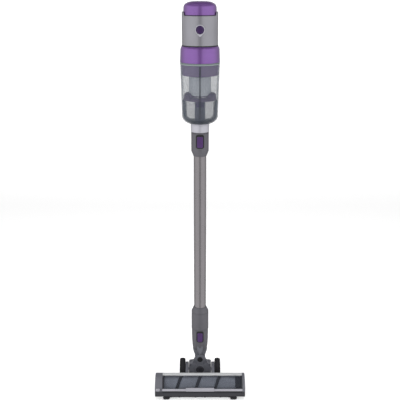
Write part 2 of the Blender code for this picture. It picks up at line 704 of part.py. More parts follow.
def body():
    """The silver shells, the purple cap over the exhaust filter, and the button that frees the bin."""
    wall = [(BODY_R, EAR_TOP), (BODY_R, BODY_FOOT), (BODY_IN, BODY_FOOT), (BODY_IN, EAR_TOP)]
    front = turned("body_front", wall, SILVER, POLE, steps=40)
    at = (0, 0, RELEASE_S)
    hole = plate("bezel_hole", teardrop(13.3, 18.5), 30, None, POLE, (0, -50, RELEASE_S), ALONG_Y)
    cut(
        front,
        box("rear_half", (-60, -0.2, 900), (60, 60, 1050), None, POLE),
        box("front_notch", (-36.5, -60, BODY_RIM), (36.5, 20, 1050), None, POLE),
        hole,
    )
    rear = turned("body_rear", wall, SILVER, POLE, steps=40)
    cut(
        rear,
        box("front_half", (-60, -60, 900), (60, 0.2, 1050), None, POLE),
        box("rear_notch", (-36.5, -20, BODY_RIM), (36.5, 60, 1050), None, POLE),
    )
    bezel = plate("button_bezel", teardrop(13, 18), 5, SILVER, POLE, (0, -46.7, RELEASE_S), ALONG_Y)
    cut(bezel, rod("bezel_bore", RELEASE_R + 0.4, 20, None, POLE, (0, -46, RELEASE_S), ALONG_Y))
    knob = [(0, 49.6), (7, 49.3), (9.6, 48.6), (RELEASE_R, 47.4), (RELEASE_R, 44.6), (0, 44.6)]
    turned("bin_release_button", knob, DARK_PURPLE, POLE, at, ALONG_Y, 28, False)

    filter_pack = [(39.8, 1027), (39.8, 1008), (20, 1008), (20, 1027)]
    turned("exhaust_filter", filter_pack, FILTER, POLE, steps=28)
    rim = BODY_RIM + GAP
    outer = [(0, 1042.5), (20, 1042), (34.1, 1039.6), (40, 1035), (42.8, 1029.7), (43.4, 1024.7), (43.9, rim)]
    inner = [(41.6, rim), (41, 1026), (39, 1032), (32.6, 1037), (19, 1039.6), (0, 1040.1)]
    turned("top_cap", [*outer, *inner], PURPLE, POLE, steps=40, ring=False)
    box("circuit_board", (-27, -20, 996), (27, 20, 997.6), BOARD, POLE)


# ---------------------------------------------------------------- handle and battery


def handle():
    """The loop behind the body: curved grip and lower bridge, with the trigger and the mode button."""
    route = [(0, 38, 980), (0, 80, 1002), (0, 118, 991), (0, 137.5, 950), (0, 137, 898)]
    grip = tube("handle", route, GRIP_R, CHARCOAL, POLE)
    bridge = box("bridge", (-16, 40, BRIDGE_FOOT), (16, 152, BRIDGE_TOP), None, POLE, 3)
    reach = [(0, 1060), (BODY_R + GAP, 1060), (BODY_R + GAP, 929), (53.6, 928), (53.6, 800), (0, 800)]
    join(grip, bridge)
    half, foot, top = TRIGGER
    room = 2 * GAP
    pocket_low = (-half - room, TRIGGER_FRONT - 14, foot - room)
    pocket_high = (half + room, TRIGGER_BACK + 5.6, top + room)
    cut(
        grip,
        turned("body_clearance", reach, None, POLE, steps=40, ring=False),
        box("trigger_pocket", pocket_low, pocket_high, None, POLE),
        rod("mode_pocket", MODE_R + BUTTON_ROOM, 20, None, POLE, (0, MODE_Y, MODE_FACE), (0, 0, 0)),
    )
    box("trigger", (-half, TRIGGER_FRONT, foot), (half, TRIGGER_BACK, top), PURPLE, POLE, 2.5)
    at = (0, MODE_Y, MODE_FACE - MODE_DEEP / 2)
    rod("mode_button", MODE_R, MODE_DEEP, PURPLE, POLE, at, (0, 0, 0), 20, 0.8)


def battery():
    """The pack that slides down out of the handle's bridge, with its cells and its latch."""
    top = BRIDGE_FOOT - 0.5
    corner_low = (-BATTERY_HALF, BATTERY_FRONT, BATTERY_FOOT)
    case = box("battery_case", corner_low, (BATTERY_HALF, BATTERY_BACK, top), CHARCOAL, POLE, 2)
    room_low = (WALL - BATTERY_HALF, BATTERY_FRONT + WALL, BATTERY_FOOT + WALL)
    room_high = (BATTERY_HALF - WALL, BATTERY_BACK - WALL, top + 10)
    half, latch_foot, latch_top = LATCH
    hole_low = (-half - BUTTON_ROOM, BATTERY_BACK - 10, latch_foot - BUTTON_ROOM)
    hole_high = (half + BUTTON_ROOM, BATTERY_BACK + 5, latch_top + BUTTON_ROOM)
    cut(
        case,
        box("battery_room", room_low, room_high, None, POLE),
        box("latch_hole", hole_low, hole_high, None, POLE),
    )
    latch_low, latch_high = (-half, BATTERY_BACK - 1.4, latch_foot), (half, BATTERY_BACK + 2.2, latch_top)
    box("battery_latch", latch_low, latch_high, PURPLE, POLE, 0.8)

    cells = []
    for row in (0, 1):
        for column in (0, 1, 2):
            name = f"cell_{row}_{column}" if cells else "battery_cells"
            at = (CELL_PITCH * (row - 0.5), BATTERY_FRONT + 22.5 + CELL_PITCH * column, BATTERY_FOOT + 30)
            cells.append(rod(name, CELL_R, 50, None if cells else CELL, POLE, at, (0, 0, 0), 20))
    join(*cells)


head_base()
head_covers()
end_caps()
brush()
brush_drive()
wheels()
carriage()
elbow()
wand()
dust_bin()
cyclone()
unit_lower()
motor()
body()
handle()
battery()
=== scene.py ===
"""The looks of the cordless stick vacuum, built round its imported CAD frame.

Shapes are drawn in millimetres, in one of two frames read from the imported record: the head frame stands on
the floor under the swivel pin, and the pole frame starts on the pin and leans forward with the pole.
"""

import json
import math
import random

import bmesh
import bpy
from mathutils import Matrix, Vector


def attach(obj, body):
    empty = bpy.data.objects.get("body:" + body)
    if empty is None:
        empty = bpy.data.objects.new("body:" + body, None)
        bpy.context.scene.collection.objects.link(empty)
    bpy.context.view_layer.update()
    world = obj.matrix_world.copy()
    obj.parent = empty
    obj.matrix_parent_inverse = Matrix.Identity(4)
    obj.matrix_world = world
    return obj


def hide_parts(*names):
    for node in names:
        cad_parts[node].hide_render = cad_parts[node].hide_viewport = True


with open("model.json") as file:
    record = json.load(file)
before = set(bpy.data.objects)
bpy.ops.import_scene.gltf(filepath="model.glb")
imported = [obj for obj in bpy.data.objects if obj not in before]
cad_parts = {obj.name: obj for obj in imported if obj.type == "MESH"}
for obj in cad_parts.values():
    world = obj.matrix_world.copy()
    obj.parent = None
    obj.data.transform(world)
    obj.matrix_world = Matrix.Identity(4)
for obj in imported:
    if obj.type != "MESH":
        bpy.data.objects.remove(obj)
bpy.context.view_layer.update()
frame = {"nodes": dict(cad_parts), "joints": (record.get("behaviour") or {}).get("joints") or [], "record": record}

MM = 0.001
FINE, ROUND, PLAIN = 144, 128, 96  # steps round a turned form, by how closely it is seen
SMOOTH_ANGLE = 38
JOINTS = {joint["name"]: joint for joint in frame["joints"]}


# ---------------------------------------------------------------- frames measured from the record


def axes_frame(origin, back, up):
    right = back.cross(up).normalized()
    turn = Matrix((right, back, up)).transposed().to_4x4()
    return Matrix.Translation(origin) @ turn @ Matrix.Scale(MM, 4)


PIN = Vector(JOINTS["pole_swivel"]["pos_m"])
POLE = axes_frame(PIN, Vector(JOINTS["pole_swivel"]["axis"]), Vector(JOINTS["wand_pull"]["axis"]))
HEAD = axes_frame(Vector((0, PIN.y, 0)), Vector((0, 1, 0)), Vector((0, 0, 1)))


def spot(name, place):
    """A joint's position in millimetres of one of the two frames."""
    return place.inverted() @ Vector(JOINTS[name]["pos_m"])


def span(node, place=POLE):
    """Lowest and highest corner of a CAD node in one of the two frames, in millimetres."""
    inverse = place.inverted()
    corners = [inverse @ vertex.co for vertex in frame["nodes"][node].data.vertices]
    low = Vector(min(corner[axis] for corner in corners) for axis in range(3))
    high = Vector(max(corner[axis] for corner in corners) for axis in range(3))
    return low, high


def foot_top(node):
    low, high = span(node)
    return low.z, high.z


# ---------------------------------------------------------------- materials


def linear(colour):
    levels = [level / 255 for level in colour]
    return tuple(v / 12.92 if v <= 0.04045 else ((v + 0.055) / 1.055) ** 2.4 for v in levels)


def feed(tree, socket, value):
    """Wires a socket to another node's output, or sets it to a value."""
    if isinstance(value, bpy.types.NodeSocket):
        tree.links.new(value, socket)
    else:
        socket.default_value = value


def add_node(tree, kind, **inputs):
    made = tree.nodes.new(f"ShaderNode{kind}")
    for socket, value in inputs.items():
        feed(tree, made.inputs[socket.replace("_", " ")], value)
    return made


def maths(tree, operation, *values):
    made = add_node(tree, "Math")
    made.operation = operation
    for socket, value in zip(made.inputs, values):
        feed(tree, socket, value)
    return made.outputs["Value"]


def ranged(tree, value, start, end, low, high):
    """A value mapped from start and end to low and high."""
    return add_node(tree, "MapRange", Value=value, From_Min=start, From_Max=end, To_Min=low,
                    To_Max=high).outputs["Result"]


def surface(name, colour, roughness, metallic=0.0, **detail):
    """A Principled material whose colour, roughness and bump all vary with procedural noise.

    spread is the colour change, grain the noise scale per metre, stretch its scale along Z, depth the bump
    height in metres, wear the change in roughness. Everything else is set straight on the shader.
    """
    spread = detail.pop("spread", 0.06)
    grain = detail.pop("grain", 900.0)
    stretch = detail.pop("stretch", 1.0)
    depth = detail.pop("depth", 0.00004)
    wear = detail.pop("wear", 0.08)
    material = bpy.data.materials.new(name)
    material.use_nodes = True
    tree = material.node_tree
    shader = tree.nodes["Principled BSDF"].inputs
    shader["Metallic"].default_value = metallic
    for socket, value in detail.items():
        shader[socket.replace("_", " ")].default_value = value

    where = add_node(tree, "TexCoord").outputs["Object"]
    drawn = add_node(tree, "Mapping", Vector=where, Scale=(1, 1, stretch)).outputs["Vector"]
    fine = add_node(tree, "TexNoise", Vector=drawn, Scale=grain, Detail=4).outputs["Fac"]
    broad = add_node(tree, "TexNoise", Vector=where, Scale=22, Detail=3).outputs["Fac"]
    mixed = maths(tree, "MULTIPLY_ADD", fine, 0.6, maths(tree, "MULTIPLY", broad, 0.4))
    calm, rough = 0.3, 0.7  # the part of the noise's range that shows

    ramp = add_node(tree, "ValToRGB", Fac=mixed)
    for stop, at, level in zip(ramp.color_ramp.elements, (calm, rough), (1 - spread, 1 + spread)):
        stop.position = at
        stop.color = (*[min(1, part * level) for part in linear(colour)], 1)
    feed(tree, shader["Base Color"], ramp.outputs["Color"])
    least, most = max(0.02, roughness - wear / 2), min(1, roughness + wear / 2)
    feed(tree, shader["Roughness"], ranged(tree, mixed, calm, rough, least, most))
    bump = add_node(tree, "Bump", Strength=0.6, Distance=depth, Height=fine)
    feed(tree, shader["Normal"], bump.outputs["Normal"])
    return material


def edge_shaded(material, clear, dense, start, end):
    """Makes a clear plastic look denser where its wall is seen edge-on."""
    tree = material.node_tree
    slope = add_node(tree, "LayerWeight", Blend=0.5).outputs["Facing"]
    feed(tree, tree.nodes["Principled BSDF"].inputs["Alpha"], ranged(tree, slope, start, end, clear, dense))
    return material


def perforated(name, colour, roughness, pitch, hole):
    """Metal sheet with round holes drawn as dots of painted shade, in rows spaced in millimetres along the piece's
    own UV map.
    """
    material = surface(name, colour, roughness, 0.3, spread=0.05)
    tree = material.node_tree
    where = add_node(tree, "UVMap")
    where.uv_map = "wrap"
    dots = add_node(tree, "TexVoronoi", Vector=where.outputs["UV"], Scale=1 / pitch, Randomness=0)
    soft = 0.06
    paint = add_node(tree, "Mix")
    paint.data_type = "RGBA"
    feed(tree, paint.inputs["Factor"], ranged(tree, dots.outputs["Distance"], hole - soft, hole + soft, 0, 1))
    dark, metal = [socket for socket in paint.inputs if socket.type == "RGBA"]
    # Each hole is a dark dot: painted shade of the screen's inside seen through it.
    dark.default_value = (*[part * 0.22 for part in linear(colour)], 1)
    base = tree.nodes["Principled BSDF"].inputs["Base Color"]
    feed(tree, metal, base.links[0].from_socket)
    feed(tree, base, next(socket for socket in paint.outputs if socket.type == "RGBA"))
    return material


SILVER = surface("silver_paint", (158, 157, 164), 0.34, 0.72, grain=5200, depth=0.000008, spread=0.1,
                 Coat_Weight=0.5, Coat_Roughness=0.12)
# A darker, rougher copy of the silver paint for the rear shell: painted shade for the unit's sides.
SILVER_PAINTED_SHADE = surface("silver_paint_shaded_side", (140, 140, 148), 0.38, 0.72, grain=5200, depth=0.000008,
                      spread=0.1, Coat_Weight=0.4, Coat_Roughness=0.16)
PURPLE = surface("purple_lacquer", (140, 98, 174), 0.3, 0.78, grain=5200, depth=0.000008, spread=0.12,
                 Coat_Weight=0.7, Coat_Roughness=0.08)
PURPLE_DARK = surface("dark_purple_plastic", (82, 52, 108), 0.32, 0.1, grain=1800, depth=0.00001,
                      Coat_Weight=0.4, Coat_Roughness=0.15)
PURPLE_DEEP = surface("deep_purple_plastic", (54, 30, 78), 0.3, 0.1, grain=1800, depth=0.00001)
COLLAR = surface("collar_plastic", (138, 116, 156), 0.35, 0.1, grain=1500, depth=0.00001)
SMOKE = edge_shaded(surface("smoke_plastic", (122, 132, 144), 0.1, 0.0, spread=0.03, grain=60, depth=0.000002,
                            wear=0.02, IOR=1.5, Specular_IOR_Level=0.5), 0.24, 0.5, 0.5, 0.8)
SILVER_BRIGHT = surface("bright_silver", (196, 195, 204), 0.3, 0.35, grain=5200, depth=0.000006, spread=0.06,
                        Coat_Weight=0.5, Coat_Roughness=0.08)
DUCT = surface("duct_plastic", (104, 102, 120), 0.35, 0.05, grain=1500, depth=0.00001)
SKIRT = surface("skirt_plastic", (106, 88, 118), 0.32, 0.05, grain=1500, depth=0.00001)
SMOKE_CUP = edge_shaded(surface("dust_cup_plastic", (84, 88, 104), 0.12, 0.0, spread=0.03, grain=60,
                                depth=0.000002, wear=0.02, IOR=1.5, Specular_IOR_Level=0.4),
                        0.05, 0.62, 0.36, 0.52)
SMOKE_HEAD = surface("smoke_window", (84, 88, 98), 0.12, 0.0, spread=0.03, grain=60, depth=0.0000005,
                     wear=0.01, Alpha=0.26, IOR=1.5, Specular_IOR_Level=0.6)
SMOKE_PALE = surface("pale_window_rail", (222, 224, 226), 0.25, 0.0, spread=0.03, Alpha=0.9, IOR=1.5)
SEAL = surface("pale_gasket", (140, 152, 150), 0.4, grain=900, depth=0.00001)
SLEEVE = surface("sleeve_plastic", (104, 103, 109), 0.42, 0.35, grain=2600, depth=0.00002)
GREY = surface("grey_plastic", (120, 121, 129), 0.44, 0.25, grain=2600, depth=0.00002)
CHARCOAL = surface("charcoal_plastic", (56, 56, 62), 0.5, grain=2400, depth=0.00003)
INK = surface("black_plastic", (28, 28, 31), 0.45, grain=2400, depth=0.00002)
SOFT_GRIP = surface("soft_grip", (44, 44, 49), 0.72, grain=1600, depth=0.00006)
TUBE = surface("anodised_tube", (150, 146, 149), 0.3, 0.95, grain=4200, stretch=0.02, depth=0.000012,
               spread=0.07, wear=0.12)
STEEL = surface("steel", (168, 170, 175), 0.26, 1.0, grain=3000, stretch=0.1, depth=0.00001)
RUBBER = surface("black_rubber", (40, 40, 43), 0.78, grain=1500, depth=0.00008, spread=0.12)
PILE = surface("roller_pile", (160, 166, 180), 0.92, grain=1400, depth=0.0006, spread=0.22, Sheen_Weight=0.5)
BRISTLE = surface("bristle", (6, 6, 7), 0.6, grain=3000, depth=0.00003, spread=0.2)
FLEECE = surface("filter_fleece", (214, 214, 206), 0.95, grain=700, depth=0.0004, spread=0.08,
                 Sheen_Weight=0.3)
COPPER = surface("copper_winding", (158, 92, 58), 0.38, 0.85, grain=1800, stretch=0.08, depth=0.00012,
                 spread=0.2)
BOARD = surface("circuit_board", (36, 84, 60), 0.45, grain=500, depth=0.00003, spread=0.25)
CELL = surface("cell_wrap", (74, 104, 128), 0.4, grain=900, depth=0.00001)
SCREEN = perforated("screen_steel", (240, 244, 252), 0.4, 1.9, 0.3)

BY_SLOT = {
    "silver_paint": SILVER,
    "purple_paint": PURPLE,
    "dark_purple": PURPLE_DARK,
    "smoke": SMOKE,
    "light_smoke": SMOKE_PALE,
    "mesh_steel": SCREEN,
    "charcoal": CHARCOAL,
    "grey": GREY,
    "sleeve": SLEEVE,
    "tube": TUBE,
    "steel": STEEL,
    "rubber": RUBBER,
    "pile": PILE,
    "bristle": BRISTLE,
    "filter": FLEECE,
    "copper": COPPER,
    "board": BOARD,
    "cells": CELL,
}
NODE_SLOT = {part["node"]: part["material_slot"] for part in frame["record"]["subparts"]}

for node, cad in frame["nodes"].items():
    cad.data.materials.clear()
    cad.data.materials.append(BY_SLOT[NODE_SLOT[node]])


# ---------------------------------------------------------------- shape helpers


def fillet(corners, closed, steps=None):
    """Rounds (a, b, radius) corners into short arcs, with as many steps as they turn through, or steps."""
    made = []
    last = len(corners) - 1
    for i, (a, b, radius) in enumerate(corners):
        here = Vector((a, b))
        if radius == 0 or (not closed and i in (0, last)):
            made.append(here)
            continue
        into = Vector(corners[i - 1][:2]) - here
        away = Vector(corners[(i + 1) % len(corners)][:2]) - here
        half = into.angle(away) / 2
        reach = min(radius / math.tan(half), 0.48 * into.length, 0.48 * away.length)
        start, end = here + into.normalized() * reach, here + away.normalized() * reach
        middle = (into.normalized() + away.normalized()).normalized()
        centre = here + middle * (reach / math.cos(half))
        count = steps or max(2, round((math.pi - 2 * half) / math.pi * 10))
        for k in range(count + 1):
            ray = (start - centre).lerp(end - centre, k / count).normalized()
            made.append(centre + ray * (start - centre).length)
    return made


def points_of(corners, closed=True):
    return [tuple(point) for point in fillet(corners, closed)]


def sharp(points):
    return [(a, b, 0) for a, b in points]


def mesh_piece(name, cage, place, smooth=SMOOTH_ANGLE):
    """A piece made from a bmesh in millimetres."""
    bmesh.ops.recalc_face_normals(cage, faces=cage.faces)
    mesh = bpy.data.meshes.new(name)
    cage.to_mesh(mesh)
    cage.free()
    mesh.transform(place)
    mesh.shade_smooth()
    mesh.set_sharp_from_angle(angle=math.radians(smooth))
    piece = bpy.data.objects.new(name, mesh)
    bpy.context.scene.collection.objects.link(piece)
    return piece


def settle(piece, material, body, *nodes):
    """Gives a piece its material and its body, and hides the CAD nodes that it stands for."""
    piece.data.materials.clear()
    piece.data.materials.append(material)
    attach(piece, body)
    if nodes:
        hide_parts(*nodes)
    return piece


def spun(name, profile, place=POLE, first=0.0, last=360.0, steps=120):
    """A turned form. profile gives the section's points, or a function of the angle from the front does."""
    at = profile if callable(profile) else lambda angle: profile
    whole = last - first >= 360
    cage = bmesh.new()
    rows = []
    for i in range(steps + (0 if whole else 1)):
        degrees = first + (last - first) * i / steps
        angle = math.radians(degrees)
        x, y = math.sin(angle), -math.cos(angle)
        rows.append([cage.verts.new((p.x * x, p.x * y, p.y)) for p in at(degrees)])
    count = len(rows[0])
    for i in range(len(rows) if whole else len(rows) - 1):
        here, there = rows[i], rows[(i + 1) % len(rows)]
        for k in range(count):
            other = (k + 1) % count
            cage.faces.new((here[k], here[other], there[other], there[k]))
    if not whole:
        cage.faces.new(rows[0])
        cage.faces.new(list(reversed(rows[-1])))
    bmesh.ops.remove_doubles(cage, verts=cage.verts, dist=0.001)
    bmesh.ops.dissolve_degenerate(cage, edges=cage.edges, dist=0.0005)
    bmesh.ops.delete(cage, geom=[edge for edge in cage.edges if not edge.link_faces], context="EDGES")
    return mesh_piece(name, cage, place)


def ring(name, corners, place=POLE, **more):
    return spun(name, fillet(corners, True), place, **more)


def band_section(outer, inner, high, low, soft=0.2, soft_inside=0.2):
    """A ring's rectangular section."""
    return [(outer, high, soft), (outer, low, soft), (inner, low, soft_inside), (inner, high, soft_inside)]


def bevel(piece, width, steps=3, angle=32):
    made = piece.modifiers.new("Bevel", "BEVEL")
    made.width = MM * width
    made.segments = steps
    made.limit_method = "ANGLE"
    made.angle_limit = math.radians(angle)
    made.harden_normals = True
    return piece


def subtract(piece, *cutters):
    """Cuts pieces out of a piece and removes them."""
    for cutter in cutters:
        boolean = piece.modifiers.new("Cut", "BOOLEAN")
        boolean.operation = "DIFFERENCE"
        boolean.object = cutter
    bpy.context.view_layer.update()
    graph = bpy.context.evaluated_depsgraph_get()
    mesh = bpy.data.meshes.new_from_object(piece.evaluated_get(graph))
    piece.modifiers.clear()
    piece.data = mesh
    mesh.set_sharp_from_angle(angle=math.radians(SMOOTH_ANGLE))
    for cutter in cutters:
        bpy.data.objects.remove(cutter, do_unlink=True)
    return piece


def block(name, low, high, place=POLE, width=0.0, steps=3):
    """A box between two corners, with its edges rounded by width."""
    cage = bmesh.new()
    bmesh.ops.create_cube(cage, size=1.0)
    for vertex in cage.verts:
        vertex.co = Vector((a + b) / 2 + c * (b - a) for a, b, c in zip(low, high, vertex.co))
    if width:
        bmesh.ops.bevel(cage, geom=cage.edges, offset=width, segments=steps, affect="EDGES", profile=0.5)
    return mesh_piece(name, cage, place)


def slab(name, outline, low, high, axis, place=POLE, width=0.0, steps=3, ends=(True, True)):
    """An outline made thick from low to high along an axis of the frame. ends says which rims are soft."""
    cage = bmesh.new()

    def corner(point, level):
        a, b = point
        return {"x": (level, a, b), "y": (a, level, b), "z": (a, b, level)}[axis]

    near = [cage.verts.new(corner(point, low)) for point in outline]
    far = [cage.verts.new(corner(point, high)) for point in outline]
    caps = [cage.faces.new(near), cage.faces.new(list(reversed(far)))]
    for i in range(len(outline)):
        k = (i + 1) % len(outline)
        cage.faces.new((near[i], near[k], far[k], far[i]))
    if width:
        edges = {edge for cap, soft in zip(caps, ends) if soft for edge in cap.edges}
        bmesh.ops.bevel(cage, geom=list(edges), offset=width, segments=steps, affect="EDGES", profile=0.5)
    return mesh_piece(name, cage, place)


def disc(name, radius, low, high, centre, axis, place=POLE, width=0.6, sides=64):
    """A round slab about an axis through centre, with rounded rims."""
    outline = []
    for i in range(sides):
        angle = math.tau * i / sides
        outline.append((centre[0] + radius * math.cos(angle), centre[1] + radius * math.sin(angle)))
    return slab(name, outline, low, high, axis, place, width)


def arc(centre, radius, first, last, count):
    """Points on an arc in a side view, with angles in degrees from the front over the top."""
    points = []
    for i in range(count + 1):
        angle = math.radians(first + (last - first) * i / count)
        points.append((centre[0] - radius * math.cos(angle), centre[1] + radius * math.sin(angle)))
    return points


def merge(name, pieces):
    """Several pieces made one object, as separate shells."""
    cage = bmesh.new()
    for piece in pieces:
        cage.from_mesh(piece.data)
        bpy.data.objects.remove(piece, do_unlink=True)
    mesh = bpy.data.meshes.new(name)
    cage.to_mesh(mesh)
    cage.free()
    made = bpy.data.objects.new(name, mesh)
    bpy.context.scene.collection.objects.link(made)
    return made


# ---------------------------------------------------------------- hand unit

CAP_FOOT, CAP_TOP = foot_top("top_cap")
BODY_FOOT, EAR_TOP = foot_top("body_rear")
BODY_R = span("body_front")[1].x
RING_FOOT, RING_TOP = foot_top("bin_ring")
RING_R = span("bin_ring")[1].x
BIN_FOOT, BIN_TOP = foot_top("dust_bin")
BIN_R = span("dust_bin")[1].x


GROOVE_ANGLE = 60
EXHAUST_SLOTS = 7
TOP_VENTS = 30
PLEATS = 36
FLOOR_TURN = 17  # height of the bin's rounded floor
BIN_WAIST = 860


def smooth_step(value, low, high):
    t = min(1, max(0, (value - low) / (high - low)))
    return t * t * (3 - 2 * t)


def shell_profile(angle):
    """The body wall: it rises beside the cap into two ears, and a groove parts the front from the sides."""
    sideways = abs(math.sin(math.radians(angle)))
    crest = CAP_FOOT - 0.3 + (EAR_TOP - CAP_FOOT + 0.3) * smooth_step(sideways, 0.88, 0.93)
    off = abs(math.degrees(math.asin(sideways)) - GROOVE_ANGLE)
    radius = BODY_R - 0.05 - 0.7 * math.exp(-((off / 0.9) ** 2))
    corners = [(radius, crest, 1.2), (radius, BODY_FOOT, 1.0), (BODY_R - 2.5, BODY_FOOT, 0.3)]
    return fillet([*corners, (BODY_R - 2.5, crest, 0.6)], True, 4)


def body_shells():
    front = spun("front_shell", shell_profile, first=-89.8, last=89.8, steps=240)
    bezel_low, bezel_high = span("button_bezel")
    hole = teardrop_outline((bezel_high.x - bezel_low.x) / 2 + 0.25, spot_button().z, 0.25)
    subtract(front, slab("hole", hole, -BODY_R - 10, -BODY_R + 12, "y"))
    settle(front, SILVER, "unit", "body_front")
    rear = spun("rear_shell", shell_profile, first=90.2, last=269.8, steps=240)
    vents = [side_slot(side, BODY_FOOT + 17 + row * 6.4, 2.6) for side in (-1, 1)
             for row in range(EXHAUST_SLOTS)]
    subtract(rear, *vents)
    # The rear shell takes the darker copy of the silver paint: painted shade.
    settle(rear, SILVER_PAINTED_SHADE, "unit", "body_rear")


def side_slot(side, low, height):
    """A slanted exhaust slot through the body wall, towards the rear on one side."""
    points = []
    for end, centre in ((1, 27.0), (-1, 9.0)):
        for i in range(9):
            angle = math.radians(-90 + 180 * i / 8)
            y = centre + end * height / 2 * math.cos(angle)
            points.append((y, low + end * height / 2 * math.sin(angle) + 0.18 * centre))
    near, far = sorted((side * (BODY_R - 18), side * (BODY_R + 4)))
    return slab("slot", points, near, far, "x")


def spot_button():
    low, high = span("bin_release_button")
    return (low + high) / 2


def teardrop_outline(radius, height, extra=0.0):
    """A circle that runs down to a soft point, round the release button."""
    low = span("button_bezel")[0].z - extra
    points = [
        (radius * math.cos(math.radians(a)), height + radius * math.sin(math.radians(a)),
         0) for a in range(-35, 216, 5)
    ]
    return points_of([*points, (0, low, 1.8)])


def release_button():
    """The round button and its pointed bright bezel."""
    low, high = span("button_bezel")
    middle = spot_button()
    radius = (high.x - low.x) / 2
    bezel = slab("release_bezel", teardrop_outline(radius, middle.z), low.y + 0.4, high.y, "y", width=0.7)
    inner = span("bin_release_button")[1].x + 0.35
    subtract(bezel, disc("bore", inner, low.y - 5, high.y + 5, (0, middle.z), "y", width=0))
    settle(bevel(bezel, 0.3, 2), SILVER_BRIGHT, "unit", "button_bezel")
    reach = inner - 0.35
    face = span("bin_release_button")[0].y
    back = span("bin_release_button")[1].y
    dish = [
        (0, -face - 0.9, 0), (reach - 3.4, -face - 0.9, 1), (reach - 2.4, -face, 0.8),
        (reach - 0.1, -face - 0.9, 0.9), (reach - 0.1, -back, 0), (0, -back, 0),
    ]
    knob = spun("release_button", fillet(dish, False), facing(middle.z), steps=72)
    settle(knob, PURPLE_DEEP, "release_button", "bin_release_button")


def facing(height, x=0.0):
    """A frame whose Z looks forward out of the pole at a height, for round pieces on its front."""
    return POLE @ Matrix.Translation((x, 0, height)) @ Matrix.Rotation(math.radians(90), 4, "X")


def top_cap():
    """The lacquered cap: a waisted side, a soft shoulder, and a dished top with a ring of exhaust slots."""
    r = span("top_cap")[1].x
    outer = [
        (0, CAP_TOP - 1.9, 0), (15, CAP_TOP - 1.9, 2), (17, CAP_TOP - 0.6, 1.2), (r - 14, CAP_TOP - 2.2, 5),
        (r - 4.2, CAP_TOP - 7.4, 6), (r - 1.2, CAP_TOP - 13, 4), (r - 0.5, CAP_TOP - 17.8, 3),
        (r, CAP_FOOT, 0.5),
    ]
    inner = [(r - 2.4, CAP_FOOT, 0.3), (r - 3.2, CAP_TOP - 15, 5), (r - 12, CAP_TOP - 4, 4),
             (0, CAP_TOP - 4, 0)]
    cap = spun("cap", fillet([*outer, *inner], False), steps=FINE)
    slots = []
    for i in range(TOP_VENTS):
        turn = Matrix.Rotation(math.tau * i / TOP_VENTS, 4, "Z")
        slots.append(slab("vent", capsule(20.5, 28.5, 0.85), CAP_TOP - 6, CAP_TOP + 2, "z", POLE @ turn))
    cutter = merge("vents", slots)
    settle(subtract(cap, cutter), PURPLE, "top_cap", "top_cap")
    seam = [(r + 0.1, CAP_FOOT - 1.4, 0), (r + 3.4, CAP_FOOT - 1.4, 0), (r + 3.4, CAP_FOOT + 1, 0),
            (r + 0.4, CAP_FOOT + 1, 0)]
    settle(ring("cap_seam", seam, first=-58, last=58), INK, "unit")
    low, high = foot_top("exhaust_filter")
    pleats = spun("pleated_filter", pleated(span("exhaust_filter")[1].x, low, high), steps=288)
    settle(pleats, FLEECE, "top_cap", "exhaust_filter")


def capsule(low, high, radius):
    points = []
    for end, sign in ((high - radius, 1), (low + radius, -1)):
        for i in range(9):
            angle = math.radians(-90 + 180 * i / 8)
            points.append((sign * radius * math.sin(angle), end + sign * radius * math.cos(angle)))
    return points


def pleated(radius, low, high):
    """A filter ring whose outside is folded into pleats."""

    def section(angle):
        edge = radius - 0.2 - 1.6 * abs(math.sin(math.radians(angle * PLEATS / 2)))
        return fillet([(edge, high, 0.5), (edge, low, 0.5), (21, low, 0.5), (21, high, 0.5)], True, 2)

    return section


def purple_ring():
    r, top = RING_R, RING_TOP
    corners = [
        (r - 4.9, top, 0.8), (r - 2.0, top - 4.8, 2.5), (r - 1.2, top - 9.5, 2),
        (r - 0.05, RING_FOOT + 0.1, 0.7), (r - 3, RING_FOOT, 0.3), (r - 4, top - 12, 1),
        (r - 6.8, top - 5, 1), (r - 7.6, top, 0.3),
    ]
    band = ring("ring", corners, steps=160)
    settle(band, PURPLE, "unit", "bin_ring")
    gap = [(r - 4.6, top + 0.1, 0), (r - 5.0, top + 2.6, 0), (BODY_R - 1.2, top + 2.6, 0),
           (BODY_R - 1.2, top + 0.1, 0)]
    settle(ring("ring_seam", gap, steps=ROUND), INK, "unit")
    low, high = foot_top("bin_seal")
    seal = band_section(RING_R - 0.5, RING_R - 2.7, high, low, 0.5, 0.3)
    settle(ring("seal", seal, steps=ROUND), SEAL, "unit", "bin_seal")


# ---------------------------------------------------------------- dust bin and cyclone


def bin_wall(height):
    """The bin's outer radius at a height: a slow taper, then a soft turn into the floor."""
    return BIN_R + (height - BIN_TOP) * 0.0277


